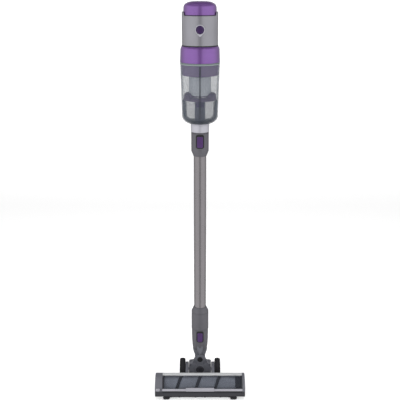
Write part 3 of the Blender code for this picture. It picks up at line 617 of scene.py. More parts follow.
def bin_shell():
    """The clear bin: thick-lipped rim, tapered wall and rounded floor with a moulded hinge rib."""
    floor = BIN_FOOT
    hole = span("inlet_duct")[1].x + 0.4
    low_r = bin_wall(floor + FLOOR_TURN)
    outer = [
        (BIN_R - 0.05, BIN_TOP, 0.5), (bin_wall(BIN_WAIST), BIN_WAIST, 30), (low_r, floor + FLOOR_TURN, 10),
        (low_r - 2.3, floor + 10.5, 7), (low_r - 9, floor + 3.6, 8), (low_r - 16, floor, 6),
    ]
    inner = [
        (hole, floor, 0.3), (hole, floor + 2.1, 0.3), (low_r - 15.4, floor + 2.2, 5),
        (low_r - 9.8, floor + 5.6, 7), (low_r - 4.2, floor + 12, 7), (low_r - 2.1, floor + 18, 8),
        (bin_wall(BIN_WAIST) - 2.1, BIN_WAIST, 30), (BIN_R - 2.1, BIN_TOP, 0.4),
    ]
    settle(ring("clear_bin", [*outer, *inner], steps=FINE), SMOKE, "bin", "dust_bin")
    rim = [
        (BIN_R + 0.0, BIN_TOP - 0.5, 0.5), (BIN_R - 0.1, BIN_TOP - 3.4, 0.5),
        (BIN_R - 1.9, BIN_TOP - 3.4, 0.2), (BIN_R - 1.9, BIN_TOP - 0.5, 0.2),
    ]
    settle(ring("bin_rim", rim, steps=ROUND), SEAL, "bin")
    rib = [(-bin_wall(880) + 0.15, 880), (-bin_wall(880) + 1.9, 880), (-bin_wall(752) + 1.9, 752),
           (-bin_wall(742) + 0.15, 743)]
    settle(slab("bin_rib", rib, -1.3, 1.3, "x"), INK, "bin")


def bin_liner():
    """The darker cup inside the bin, below the skirt, which catches the dust."""
    top = foot_top("cyclone_skirt")[0] - 0.8
    floor = BIN_FOOT + 3.2
    wide = bin_wall(top) - 3.0
    low_r = bin_wall(BIN_FOOT + FLOOR_TURN)
    hole = span("inlet_duct")[1].x + 0.6
    outer = [
        (wide, top, 0.4), (low_r - 2.9, floor + 16, 8), (low_r - 5.2, floor + 9.5, 7),
        (low_r - 11, floor + 3.2, 8), (low_r - 17, floor, 5),
    ]
    inner = [
        (hole, floor, 0.2), (hole, floor + 1.5, 0.2), (low_r - 16.6, floor + 1.6, 5),
        (low_r - 12, floor + 4.8, 7), (low_r - 6.8, floor + 10.6, 7), (low_r - 4.4, floor + 17, 8),
        (wide - 1.5, top, 0.3),
    ]
    settle(ring("dust_cup", [*outer, *inner], steps=ROUND), SMOKE_CUP, "bin")


def inlet():
    """The bright inlet nozzle, the duct that rises in the middle of the bin, and its flap."""
    low, high = foot_top("inlet_nozzle")
    band = span("wand_upper_sleeve")[1].z + 0.3
    outer = span("inlet_nozzle")[1].x
    spigot = span("wand_upper_sleeve")[1].x - 7.9
    bore = spigot - 2.2
    nozzle = [
        (outer, high, 0.5), (outer - 0.1, high - 2.6, 0.3), (outer - 0.6, high - 3.0, 0.2),
        (outer - 0.6, high - 3.8, 0.2), (outer - 0.1, high - 4.2, 0.3), (outer - 0.45, band, 0.8),
        (spigot, band, 0.3), (spigot, low, 0.6), (bore, low, 0.4), (bore, high, 0.3),
    ]
    settle(ring("nozzle", nozzle, steps=ROUND), SILVER_BRIGHT, "bin", "inlet_nozzle")
    low, high = foot_top("inlet_duct")
    r = span("inlet_duct")[1].x
    duct = [(r, high, 0.5), (r, low, 0.3), (r - 1.9, low, 0.2), (r - 1.9, high, 0.4)]
    pipe = ring("duct", duct, steps=PLAIN)
    flap_low, flap_high = span("duct_flap")
    window = block("window", (-8, -30, flap_low.z + 2), (8, 0, flap_low.z + 14))
    settle(subtract(pipe, window), DUCT, "bin", "inlet_duct")
    flap = block("flap", flap_low, flap_high, POLE, 0.5)
    settle(flap, PURPLE_DARK, "duct_flap", "duct_flap")


def wrap_uv(piece, place):
    """Lays a piece's faces flat round the pole, in millimetres, in a UV map called wrap."""
    mesh = piece.data
    inverse = place.inverted()
    layer = mesh.uv_layers.new(name="wrap")
    for face in mesh.polygons:
        angles = []
        for index in face.loop_indices:
            point = inverse @ mesh.vertices[mesh.loops[index].vertex_index].co
            angles.append((math.atan2(point.x, -point.y), math.hypot(point.x, point.y), point.z, index))
        start = angles[0][0]
        for angle, radius, height, index in angles:
            while angle - start > math.pi:
                angle -= math.tau
            while angle - start < -math.pi:
                angle += math.tau
            layer.data[index].uv = (angle * radius, height)
    return piece


def cyclone():
    """Collar, perforated screen with its ribs, bell-shaped skirt and the cone inside."""
    low, high = foot_top("cyclone_collar")
    r = span("cyclone_collar")[1].x
    collar = [
        (r - 0.05, high, 0.6), (r - 1.1, low, 1.2), (26.2, low, 0.4), (26.2, low + 2.3, 0.4),
        (r - 3.6, low + 2.3, 1), (r - 2.4, high, 0.4),
    ]
    settle(ring("collar", collar, steps=ROUND), COLLAR, "cyclone", "cyclone_collar")
    low, high = foot_top("cyclone_screen")
    r = span("cyclone_screen")[1].x
    low -= 9
    sheet = ring("screen", band_section(r, r - 1.2, high, low), steps=FINE)
    wrap_uv(sheet, POLE)
    settle(sheet, SCREEN, "cyclone", "cyclone_screen")
    hoops = [ring("hoop", band_section(r + 0.5, r + 0.05, height + 1.4, height - 1.4, 0.4, 0), steps=PLAIN)
             for height in (high - 1.6, low + 1.6)]
    settle(merge("screen_hoops", hoops), SKIRT, "cyclone")
    low, high = foot_top("cyclone_skirt")
    wide = span("cyclone_skirt")[1].x

    def skirt(angle):
        """The skirt's section: its rim dips at the front and back, and rises to shoulders at the sides."""
        rim = high - 9.6 * (1 - smooth_step(abs(math.sin(math.radians(angle))), 0.6, 0.86))
        return fillet([(27.1, rim, 0.5), (wide - 6.5, rim - 0.2, 4), (wide - 1.6, rim - 4, 2),
                       (wide, low, 0.5),
                       (wide - 1.6, low, 0.3), (wide - 3.4, rim - 4.6, 2), (wide - 7.5, rim - 2.2, 2),
                       (27.1, rim - 2, 0.5)], True, 3)

    settle(spun("skirt", skirt, steps=FINE), SKIRT, "cyclone", "cyclone_skirt")
    low, high = foot_top("cyclone_cone")
    wide = span("cyclone_cone")[1].x
    cone = [
        (wide, high, 0.4), (16.2, low, 0.5), (14.0, low, 0.3), (wide - 2.2, high, 0.3),
    ]
    settle(ring("cone", cone, steps=PLAIN), DUCT, "cyclone", "cyclone_cone")


# ---------------------------------------------------------------- wand, sleeves and their buttons


OPENING_FLOOR = 17.2


def latch_button(name, body, node):
    """A rounded square button with shallow grip lines, on a dark plate."""
    low, high = span(node)
    plate = slab(f"{name}_plate", rounded_box(low.x, high.x, low.z, high.z, 5.0), low.y + 1.6, high.y, "y",
                 width=0.6)
    settle(plate, INK, body)
    outline = rounded_box(low.x + 2.7, high.x - 2.7, low.z + 2.2, high.z - 5.5, 3.4)
    key = slab(name, outline, low.y + 0.1, high.y - 0.4, "y", width=1.1, steps=4)
    cuts = []
    for i in range(3):
        level = low.z + (high.z - low.z) * (0.3 + 0.2 * i)
        cuts.append(block("line", (low.x + 5.5, low.y - 2, level - 0.5),
                          (high.x - 5.5, low.y + 0.7, level + 0.5), POLE, 0.3))
    subtract(key, *cuts)
    settle(key, PURPLE_DARK, body, node)
    return key


def rounded_box(left, right, foot, top, radius):
    corners = [(left, foot, radius), (right, foot, radius), (right, top, radius), (left, top, radius)]
    return points_of(corners)


def pocketed(sleeve, node):
    """Cuts a rounded opening for a button in a sleeve, down to the opening's floor."""
    low, high = span(node)
    outline = rounded_box(low.x - 0.35, high.x + 0.35, low.z - 0.35, high.z + 0.35, 5.3)
    return subtract(sleeve, slab("opening", outline, -40, -OPENING_FLOOR, "y"))


def dark_recess(name, node, inner, above, body):
    """The dark floor of a button's opening."""
    low, high = span(node)
    floor = ring(name, band_section(OPENING_FLOOR + 0.4, inner, high.z + above, low.z - 1.5),
                 first=-40, last=40, steps=32)
    settle(floor, INK, body)


def upper_sleeve():
    low, high = foot_top("wand_upper_sleeve")
    r = span("wand_upper_sleeve")[1].x
    tube = span("wand_tube")[1].x + 0.3
    tube_top = foot_top("wand_tube")[1] + 0.3
    body = [
        (r - 0.05, high, 0.8), (r - 0.15, low + 14, 3.5), (tube + 1.6, low + 2.2, 3),
        (tube + 0.9, low, 0.7), (tube, low, 0.2), (tube, tube_top, 0.2), (16.8, tube_top, 0.2),
        (16.8, high, 0.4),
    ]
    sleeve = ring("upper_sleeve", body, steps=FINE)
    pocketed(sleeve, "wand_button")
    settle(sleeve, SLEEVE, "wand", "wand_upper_sleeve")
    latch_button("upper_button", "wand_button", "wand_button")
    dark_recess("upper_recess", "wand_button", 17.1, 1.5, "wand")
    band = ring("sleeve_line", [(r + 0.02, high - 2.2, 0.1), (r, high - 3.2, 0.1), (r - 1.0, high - 3.2, 0),
                                (r - 1.0, high - 2.2, 0)], steps=PLAIN)
    settle(band, INK, "wand")


def lower_sleeve():
    low, high = foot_top("wand_lower_sleeve")
    r = span("wand_lower_sleeve")[1].x
    tube = span("wand_tube")[1].x + 0.3
    tube_foot = foot_top("wand_tube")[0] - 0.3
    body = [
        (tube + 0.9, high, 0.6), (tube + 1.5, high - 2.4, 2), (r - 0.3, high - 14.5, 4),
        (r - 0.25, high - 16.2, 0.1), (r - 0.95, high - 16.4, 0.1), (r - 0.95, high - 16.9, 0.1),
        (r - 0.25, high - 17.1, 0.1), (r - 0.1, low + 3, 0.1), (r - 0.8, low + 2.8, 0.1),
        (r - 0.8, low + 2.3, 0.1), (r - 0.1, low + 2.1, 0.1), (r - 0.05, low, 0.8), (16.8, low, 0.4),
        (16.8, tube_foot, 0.2), (tube, tube_foot, 0.2), (tube, high, 0.2),
    ]
    sleeve = ring("lower_sleeve", body, steps=FINE)
    settle(sleeve, SLEEVE, "wand", "wand_lower_sleeve")


def wand_tube():
    low, high = foot_top("wand_tube")
    r = span("wand_tube")[1].x
    pipe = band_section(r, r - 1.5, high, low, 0.4, 0.3)
    settle(ring("tube", pipe, steps=ROUND), TUBE, "wand", "wand_tube")


# ---------------------------------------------------------------- steering joint


def elbow():
    """The neck: a socketed barrel, with its button in a dark opening."""
    top = foot_top("wand_lower_sleeve")[0] - 0.3
    spigot_top = foot_top("elbow")[1]
    wide = span("elbow")[1].x
    barrel = [
        (14.2, 28.6, 0), (14.2, spigot_top, 0.3), (16.4, spigot_top, 0.8), (16.4, top, 0.2),
        (wide - 0.02, top, 0.7), (wide - 0.72, top - 36, 8), (wide - 1.95, 42, 6), (wide - 3.35, 34, 3),
        (18.3, 29.1, 2), (14.2, 28.6, 0),
    ]
    neck = ring("neck", barrel, steps=FINE)
    pocketed(neck, "neck_button")
    settle(neck, SLEEVE, "elbow", "elbow")
    latch_button("neck_key", "neck_button", "neck_button")
    dark_recess("neck_recess", "neck_button", 14.4, 0.3, "elbow")


def tongue():
    """The neck's flat lug, which turns between the carriage's ears, and the V-shaped rib in front of it."""
    side = [(21.4, 36.5), (21.2, 31), (19.3, 24), (16.6, 16.5), (14.2, 10.5)]
    outline = list(side)
    outline += [(15.9 * math.cos(math.radians(a)), 15.9 * math.sin(math.radians(a)))
                for a in range(25, -206, -7)]
    outline += [(-x, s) for x, s in reversed(side)]
    depth = 11.45
    lug = slab("lug", outline, -depth, depth, "y", width=1.2, steps=4)
    bore = disc("bore", span("swivel_pin")[1].x - 2.7, -20, 20, (0, 0), "y", width=0)
    settle(subtract(lug, bore), GREY, "elbow")
    rib = [(0, 15.8, 1.0), (-8.6, 34, 2.2), (-8.2, 47, 3), (8.2, 47, 3), (8.6, 34, 2.2)]
    shield = slab("shield", points_of(rib), -22.4, -10.5, "y", width=1.2, steps=4)
    settle(shield, GREY, "elbow")


CRESCENT = ((17.6, -2.5), (20.6, -9.5), (19.8, -13), (13, -17), (7.5, -17.5), (6.5, -13.5), (11.2, -9.5),
            (13.4, -3.5))
LENS_SHAPE = (24.5, -16.8), (29.6, -18.6), (30.4, -27), (27, -24)


def carriage():
    """The tilting block: two ears round the swivel pin, sunken reliefs, and a ring round the cap's seat."""
    low, high = span("carriage")
    half = [
        (33.4, -60.5, 3), (33.9, -30, 3), (31.9, -16.6, 2.5), (23.9, -14.1, 1.5), (22.4, -10.5, 2),
        (18.4, -1, 4), (13.7, 8, 4), (7.9, 13.4, 3), (4.9, 15.2, 2),
    ]
    outline = points_of([*half, *[(-x, s, r) for x, s, r in reversed(half)]])
    outer = slab("carriage_block", outline, low.y + 0.05, high.y - 0.05, "y")
    slot = block("slot", (-60, -11.9, -9.5), (60, 11.9, 60))
    well = disc("well", 17.6, -11.9, 11.9, (0, 0), "y", width=0)
    axle = spot("pole_tilt", POLE)
    tunnel = disc("tunnel", 4.4, -60, 60, (axle.y, axle.z), "x", width=0)
    bore = disc("bore", 5.3, -40, 40, (0, 0), "y", width=0)
    relief = []
    for side in (-1, 1):
        for shape, radius in ((CRESCENT, 2.0), (LENS_SHAPE, 1.6)):
            points = points_of([(side * x, s, radius) for x, s in shape])
            relief.append(slab("relief", points, low.y - 2, low.y + 2.6, "y"))
    waist = [(11.7, 25, 0), (11.7, -2, 8), (16.2, -14, 4), (19.2, -22, 4), (45, -26, 0), (45, 25, 0)]
    for side in (-1, 1):
        outline = points_of([(side * x, s, r) for x, s, r in waist])
        relief.append(slab("waist", outline, -6, 30, "y"))
    subtract(outer, slot, well, tunnel, bore, *relief)
    settle(bevel(outer, 0.7, 2), GREY, "carriage", "carriage")
    cap = (span("carriage_cap")[0] + span("carriage_cap")[1]) / 2
    boss = disc("boss", 16.4, low.y - 1.4, low.y + 3, (0, cap.z), "y", width=0.9)
    seat = disc("seat", 12.3, low.y - 3, low.y - 0.15, (0, cap.z), "y", width=0)
    settle(subtract(boss, seat), GREY, "carriage")


def pin_and_cap():
    low, high = span("swivel_pin")
    head = high.x
    profile = [
        (0, -low.y - 0.9, 0), (2.3, -low.y - 0.9, 0.3), (2.9, -low.y - 0.2, 0.3),
        (head - 1.0, -low.y - 0.1, 0.8), (head - 0.05, -low.y - 1.1, 0.7), (head - 0.05, -low.y - 2.9, 0.3),
        (4.95, -low.y - 2.9, 0), (4.95, -high.y, 0.8), (0, -high.y, 0),
    ]
    pin = spun("pin", fillet(profile, False), facing(0), steps=64)
    settle(pin, INK, "carriage", "swivel_pin")
    low, high = span("carriage_cap")
    middle = (low + high) / 2
    profile = [
        (0, -low.y - 0.7, 0), (5.4, -low.y - 0.7, 0.3), (6.1, -low.y, 0.4), (high.x - 1.2, -low.y - 0.1, 1),
        (high.x - 0.05, -low.y - 1.2, 0.5), (high.x - 0.05, -high.y, 0), (0, -high.y, 0),
    ]
    plate = spun("cap_plate", fillet(profile, False), facing(middle.z), steps=72)
    lobes = []
    for turn in (30, 150, 270):
        angle = math.radians(turn)
        centre = (4.6 * math.cos(angle), middle.z + 4.6 * math.sin(angle))
        lobes.append(disc("lobe", 3.1, low.y - 2, low.y + 1.5, centre, "y", width=0, sides=32))
    subtract(plate, *lobes)
    settle(plate, CHARCOAL, "carriage", "carriage_cap")


# ---------------------------------------------------------------- floor head

BRUSH = spot("brush_spin", HEAD)
AXLE = spot("wheel_left_spin", HEAD)
HOUSING_R = span("brush_window", HEAD)[1].z - BRUSH.z
CHAMBER_R = HOUSING_R - 2.6
FRONT = span("head_base", HEAD)[0].y
UNDER = span("head_base", HEAD)[0].z
REAR = FRONT + 93.5
LIP_TOP = BRUSH.z - 2.1
CAP_SEAM = -110.0  # where the end cap that pulls out meets the window
STRIP_TURN = math.radians(152)
STRIP_PITCH = 56.0
STRIP_REACH = 25.2
STRIP_LENGTHS = 380
PILE_ROWS, PILE_SIDES = 210, 150
TREAD_PITCH, TREAD_NOTCH = 10, 2.6  # degrees
HUB_WINDOWS = 6


def across(x, y, z):
    """A frame whose Z runs along the head's X from a point, for rollers and wheels."""
    return HEAD @ Matrix.Translation((x, y, z)) @ Matrix.Rotation(math.radians(90), 4, "Y")


def hood_outline(inset):
    """The head's side profile, drawn in by inset."""
    top = arc((BRUSH.y, BRUSH.z), HOUSING_R + 0.65 - inset, 17, 134, 40)
    corners = [
        (FRONT + 13 + inset, UNDER + inset, 3), (FRONT + inset, UNDER + 8 + inset, 3),
        (FRONT + inset, BRUSH.z + 8.4, 1.6),
        *sharp(top),
        (BRUSH.y + 36.2, 48.4 - inset, 5), (BRUSH.y + 49.2, 43.2 - inset, 5),
        (REAR - inset, 37.7 - inset, 3), (REAR - inset, UNDER + 6.5, 3),
        (REAR - 5 - inset, UNDER + inset, 2.5),
    ]
    return points_of(corners)


def shell_arc(first, last, inner, outer, count):
    outline = arc((BRUSH.y, BRUSH.z), outer, first, last, count)
    return outline + arc((BRUSH.y, BRUSH.z), inner, last, first, count)


def head_window():
    """The smoke-clear hood over the brush, with moulded end frames and a pale rail along its rear edge."""
    low, high = span("brush_window", HEAD)
    pane = shell_arc(0.6, 79.6, CHAMBER_R + 0.1, HOUSING_R - 0.05, 72)
    glass = slab("window", pane, low.x, high.x, "x", HEAD, 0.35, 2)
    settle(glass, SMOKE_HEAD, "head", "brush_window")
    frames = []
    for left, right in ((low.x + 0.3, low.x + 3.4), (high.x - 2.6, high.x - 0.3)):
        section = shell_arc(2, 79, HOUSING_R - 0.1, HOUSING_R + 0.45, 60)
        frames.append(slab("frame", section, left, right, "x", HEAD, 0.2, 2))
    settle(merge("window_frames", frames), CHARCOAL, "head")
    low, high = span("window_rail", HEAD)
    edge = shell_arc(80, 123.6, CHAMBER_R + 0.1, HOUSING_R + 0.35, 30)
    rail = slab("rail", edge, low.x, high.x, "x", HEAD, 0.5, 3)
    settle(rail, SMOKE_PALE, "head", "window_rail")


def rear_cover():
    """The casing over the brush motor, with two long grooves and cooling slots."""
    low, high = span("rear_cover", HEAD)
    corners = [
        *sharp(arc((BRUSH.y, BRUSH.z), HOUSING_R + 0.35, 124.8, 134, 6)),
        (BRUSH.y + 36, 48.15, 5), (BRUSH.y + 49, 42.95, 5), (REAR - 0.05, 37.45, 3),
        (REAR - 0.05, low.z + 0.05, 0.4), (REAR - 2.5, low.z + 0.05, 0.3), (REAR - 2.5, 36.2, 2),
        (BRUSH.y + 48, 40.5, 3), (BRUSH.y + 35.4, 45.5, 3),
        *sharp(arc((BRUSH.y, BRUSH.z), HOUSING_R + 0.9, 149.3, 150, 1)[:1]),
        *sharp(arc((BRUSH.y, BRUSH.z), CHAMBER_R + 0.05, 149.3, 124.8, 12)),
    ]
    cover = slab("cover", points_of(corners), low.x, high.x, "x", HEAD, 0.4, 2)
    cuts = []
    for x in (-74, -66, -58, -50, 50, 58, 66, 74):
        cuts.append(block("slot", (x - 2.6, REAR - 1.2, 32.2), (x + 2.6, REAR + 3, 40), HEAD, 0.5))
    for y, z in ((BRUSH.y + 34, 48.4), (BRUSH.y + 41, 45.4)):
        cuts.append(block("groove", (low.x + 8, y - 0.5, z), (high.x - 8, y + 0.5, z + 9), HEAD))
    settle(subtract(cover, *cuts), GREY, "head", "rear_cover")


def front_trim():
    """The silver strip under the window, fuller in the middle, over the dark lip."""
    low, high = span("front_trim", HEAD)
    face = FRONT + 0.05
    foot, head = low.z + 0.2, low.z + 7.2
    strip = [(face + 2.3, foot, 0.4), (face, foot + 0.3, 0.7), (face, head - 1.2, 1.8), (face + 1, head, 0.8),
             (face + 2.3, head, 0.3)]
    trim = slab("trim", points_of(strip), low.x, high.x, "x", HEAD, 0.4, 2)
    settle(trim, SILVER_BRIGHT, "head", "front_trim")
    bulge = [(low.y + 4.0, low.z, 0.3), (low.y + 0.6, low.z + 0.05, 1.4), (low.y, (low.z + high.z) / 2, 4),
             (low.y + 0.7, high.z, 1.6), (low.y + 4.1, high.z, 0.3)]
    middle = slab("trim_middle", points_of(bulge), -40.8, 40.8, "x", HEAD, 1.3, 4)
    settle(middle, SILVER_BRIGHT, "head")


def tray():
    """The dark tray: lip with skids, floor with the brush mouth, chamber wall, rear wall and wheel arms."""
    left, right = span("head_base", HEAD)[0].x, span("brush_window", HEAD)[1].x
    foot = 180 + math.degrees(math.asin((BRUSH.z - UNDER - 3) / HOUSING_R))
    corners = [
        (FRONT + 1.2, LIP_TOP, 0.3), (FRONT + 1.2, LIP_TOP - 3.4, 0.2), (FRONT + 0.1, LIP_TOP - 3.8, 0.5),
        (FRONT + 0.1, UNDER + 8.4, 3), (FRONT + 13.4, UNDER, 3), (REAR - 5, UNDER, 2.5),
        (REAR - 0.1, UNDER + 6.5, 3), (REAR - 0.1, 30, 0.5), (REAR - 2.5, 30, 0.4),
        (REAR - 2.5, UNDER + 3, 1),
        *sharp(arc((BRUSH.y, BRUSH.z), HOUSING_R - 0.05, foot, 150, 30)),
        *sharp(arc((BRUSH.y, BRUSH.z), CHAMBER_R + 0.05, 150, foot + 2, 30)),
        (FRONT + 14, UNDER + 3, 0.5), (FRONT + 2.7, UNDER + 10.6, 1), (FRONT + 2.7, LIP_TOP, 0.4),
    ]
    base = slab("tray", points_of(corners), left, right, "x", HEAD)
    cuts = [
        block("mouth", (-120, -106, 0), (104, -64, 12), HEAD),
        block("belt_room", (104.5, -76, 12), (120, -31, 70), HEAD),
    ]
    for name in ("roller_left_spin", "roller_right_spin"):
        at = spot(name, HEAD)
        cuts.append(block("pocket", (at.x - 10.7, at.y - 6.5, 0), (at.x + 10.7, at.y + 6.5, 13), HEAD, 1.2))
    for x in range(-96, 97, 24):
        cuts.append(block("recess", (x - 9, BRUSH.y + 31, UNDER - 1), (x + 9, BRUSH.y + 48, UNDER + 0.9),
                          HEAD, 0.4))
    settle(subtract(base, *cuts), CHARCOAL, "head", "head_base")
    cheeks = []
    for side in (-1, 1):
        inner, outer = sorted((side * 34.8, side * 43.9))
        corners = [(REAR - 0.8, 14.2, 1), (REAR - 0.8, 29.8, 1), (REAR + 0.5, 33, 2), (REAR + 15, 49.4, 8),
                   (REAR + 25, 57.4, 8), (REAR + 36, 58.4, 8), (AXLE.y + 11.9, 49.8, 8),
                   (AXLE.y + 11.9, 19.2, 6), (REAR + 8, 14.2, 3)]
        cheek = slab("cheek", points_of(corners), inner, outer, "x", HEAD, 1.3, 3)
        bore = disc("bore", 4.3, inner - 2, outer + 2, (AXLE.y, AXLE.z), "x", HEAD, 0)
        cheeks.append(subtract(cheek, bore))
    settle(merge("cheeks", cheeks), GREY, "head")
    skids = []
    for x in (-85.5, -60, -13, 14, 59.5, 86):
        corners = [(FRONT + 0.7, UNDER + 10, 0.5), (FRONT + 1.4, UNDER + 4.2, 1.2),
                   (FRONT + 6, UNDER + 1.4, 1.2), (FRONT + 14, UNDER + 0.3, 0.5),
                   (FRONT + 14, UNDER + 2, 0.5)]
        skids.append(slab("skid", points_of(corners), x - 2.8, x + 2.8, "x", HEAD, 0.7, 3))
    # A black strip filling the lip's setback: painted shade where the lip steps back.
    skids.append(block("lip_painted_shade", (left + 0.2, FRONT + 0.8, LIP_TOP - 3.3),
                       (right - 0.2, FRONT + 1.6, LIP_TOP - 0.1), HEAD))
    settle(merge("skids", skids), INK, "head")
    lips = []
    for y in (-107.6, -62.6):
        lips.append(block("lip", (-104, y - 0.8, UNDER - 2.2), (100, y + 0.8, UNDER + 0.3), HEAD, 0.5))
    settle(merge("soft_lips", lips), RUBBER, "head")


def darker_foot(piece):
    """Moulds the part of a cap below the lip in the darker plastic."""
    cage = bmesh.new()
    cage.from_mesh(piece.data)
    everything = [*cage.verts, *cage.edges, *cage.faces]
    bmesh.ops.bisect_plane(cage, geom=everything, plane_co=(0, 0, LIP_TOP * MM), plane_no=(0, 0, 1))
    for face in cage.faces:
        face.material_index = int(face.calc_center_median().z < LIP_TOP * MM)
    cage.to_mesh(piece.data)
    cage.free()
    piece.data.materials.append(CHARCOAL)


def end_caps():
    """The right cap, and the left cap that pulls out with the brush, its bright edge and its latch."""
    low, high = span("right_end_cap", HEAD)
    cap = slab("right_cap", hood_outline(0.0), low.x, high.x, "x", HEAD, 2.2, 5, (False, True))
    hollow = slab("hollow", hood_outline(2.6), low.x - 5, high.x - 2.5, "x", HEAD)
    panel = slab("panel", hood_outline(7.5), high.x - 0.6, high.x + 3, "x", HEAD)
    subtract(cap, hollow, panel)
    darker_foot(settle(cap, GREY, "head", "right_end_cap"))
    low, high = span("left_end_cap", HEAD)
    cap = slab("left_cap", hood_outline(0.0), low.x, CAP_SEAM, "x", HEAD, 2.2, 5, (True, False))
    hollow = slab("hollow", hood_outline(2.6), low.x + 2.5, CAP_SEAM + 5, "x", HEAD)
    panel = slab("panel", hood_outline(7.5), low.x - 3, low.x + 0.6, "x", HEAD)
    slot = slab("slot", rounded_box(-128.3, -111.6, 31.1, 38.9, 2.2), FRONT - 8, FRONT + 1.8, "y", HEAD)
    subtract(cap, hollow, panel, slot)
    darker_foot(settle(cap, GREY, "end_cap", "left_end_cap"))
    spigot = spun("spigot", fillet([(0, 18, 0), (4, 18, 0.8), (4, 0.5, 0.3), (9, 0.5, 0.8), (9, -18.5, 0),
                                    (0, -18.5, 0)], False), across(CAP_SEAM, BRUSH.y, BRUSH.z), steps=48)
    settle(spigot, CHARCOAL, "end_cap")
    rim = slab("cap_line", hood_outline(0.05), CAP_SEAM - 1.7, CAP_SEAM - 0.02, "x", HEAD)
    core = slab("core", hood_outline(1.2), CAP_SEAM - 5, CAP_SEAM + 5, "x", HEAD)
    settle(subtract(rim, core), SILVER_BRIGHT, "end_cap")
    low, high = span("end_cap_latch", HEAD)
    latch = slab("latch", rounded_box(low.x, high.x, low.z, high.z, 1.8), low.y + 0.05, high.y, "y", HEAD,
                 0.8, 3)
    ridges = [block("ridge", (x - 0.4, low.y - 2, low.z + 1.3), (x + 0.4, low.y + 0.55, high.z - 1.3), HEAD)
              for x in (low.x + 3.2, low.x + 5.2, low.x + 7.2)]
    settle(subtract(latch, *ridges), SILVER_BRIGHT, "end_cap_latch", "end_cap_latch")


def brush_roller():
    """The soft pile sleeve, slightly uneven like cut nap, on its core."""
    low, high = span("brush_pile", HEAD)
    radius = (high.z - low.z) / 2
    chance = random.Random(11)
    rows, sides = PILE_ROWS, PILE_SIDES
    cage = bmesh.new()
    grid = []
    for i in range(rows + 1):
        x = low.x + (high.x - low.x) * i / rows
        ease = min(1.0, (min(i, rows - i) + 0.6) / 3)
        row = []
        for k in range(sides):
            angle = math.tau * (k + 0.5 * (i % 2)) / sides
            reach = radius - 1.6 + 1.1 * ease + chance.uniform(-0.32, 0.32)
            row.append(cage.verts.new((x, BRUSH.y + reach * math.cos(angle),
                                       BRUSH.z + reach * math.sin(angle))))
        grid.append(row)
    for here, there in zip(grid, grid[1:]):
        for k in range(sides):
            other = (k + 1) % sides
            cage.faces.new((here[k], there[k], there[other], here[other]))
    inner = []
    for row, x in ((grid[0], low.x), (grid[-1], high.x)):
        hole = []
        for k in range(sides):
            angle = math.tau * k / sides
            hole.append(cage.verts.new((x, BRUSH.y + 14.2 * math.cos(angle),
                                        BRUSH.z + 14.2 * math.sin(angle))))
        for k in range(sides):
            other = (k + 1) % sides
            cage.faces.new((row[k], row[other], hole[other], hole[k]))
        inner.append(hole)
    for k in range(sides):
        other = (k + 1) % sides
        cage.faces.new((inner[0][k], inner[0][other], inner[1][other], inner[1][k]))
    settle(mesh_piece("pile_sleeve", cage, HEAD, 80), PILE, "brush", "brush_pile")


def bristle_rows():
    """Tufts of stiff bristles in a helix round the roller, on a narrow backing."""
    chance = random.Random(23)
    low, high = span("bristle_strip", HEAD)
    first, last = low.x + 6, high.x - 6
    tip = (high.z - low.z) / 2 - 0.2
    cage = bmesh.new()
    for row in range(-3, 4):
        for i in range(STRIP_LENGTHS):
            x = first + (last - first) * (i + 0.5 * (row % 2)) / STRIP_LENGTHS
            angle = strip_angle(x)
            x += row * 1.15
            spread_x, spread_a = chance.uniform(-0.5, 0.5), chance.uniform(-0.02, 0.02)
            width = 0.55
            foot, head = [], []
            for step in range(5):
                side = math.tau * step / 5
                dx, da = width * math.cos(side), width * math.sin(side) / STRIP_REACH
                foot.append(cage.verts.new(helix_point(x + dx, angle + da, STRIP_REACH)))
                head.append(cage.verts.new(helix_point(x + spread_x + 1.25 * dx, angle + spread_a + 1.25 * da,
                                                       tip - chance.uniform(0, 0.7))))
            for k in range(5):
                cage.faces.new((foot[k], foot[(k + 1) % 5], head[(k + 1) % 5], head[k]))
            cage.faces.new(foot)
            cage.faces.new(head)
    steps = 300
    before = None
    for i in range(steps + 1):
        x = first + (last - first) * i / steps
        angle = strip_angle(x)
        corners = ((-4.6, 24.4), (4.6, 24.4), (4.2, 26.9), (-4.2, 26.9))
        ends = [cage.verts.new(helix_point(x + dx, angle, reach)) for dx, reach in corners]
        if before is None:
            cage.faces.new(ends)
        else:
            for k in range(4):
                cage.faces.new((before[k], before[(k + 1) % 4], ends[(k + 1) % 4], ends[k]))
        before = ends
    cage.faces.new(before)
    settle(mesh_piece("bristle_rows", cage, HEAD, 50), BRISTLE, "brush", "bristle_strip")


def strip_angle(x):
    return STRIP_TURN - math.tau * (x + 8) / STRIP_PITCH


def helix_point(x, angle, radius):
    return x, BRUSH.y + radius * math.cos(angle), BRUSH.z + radius * math.sin(angle)


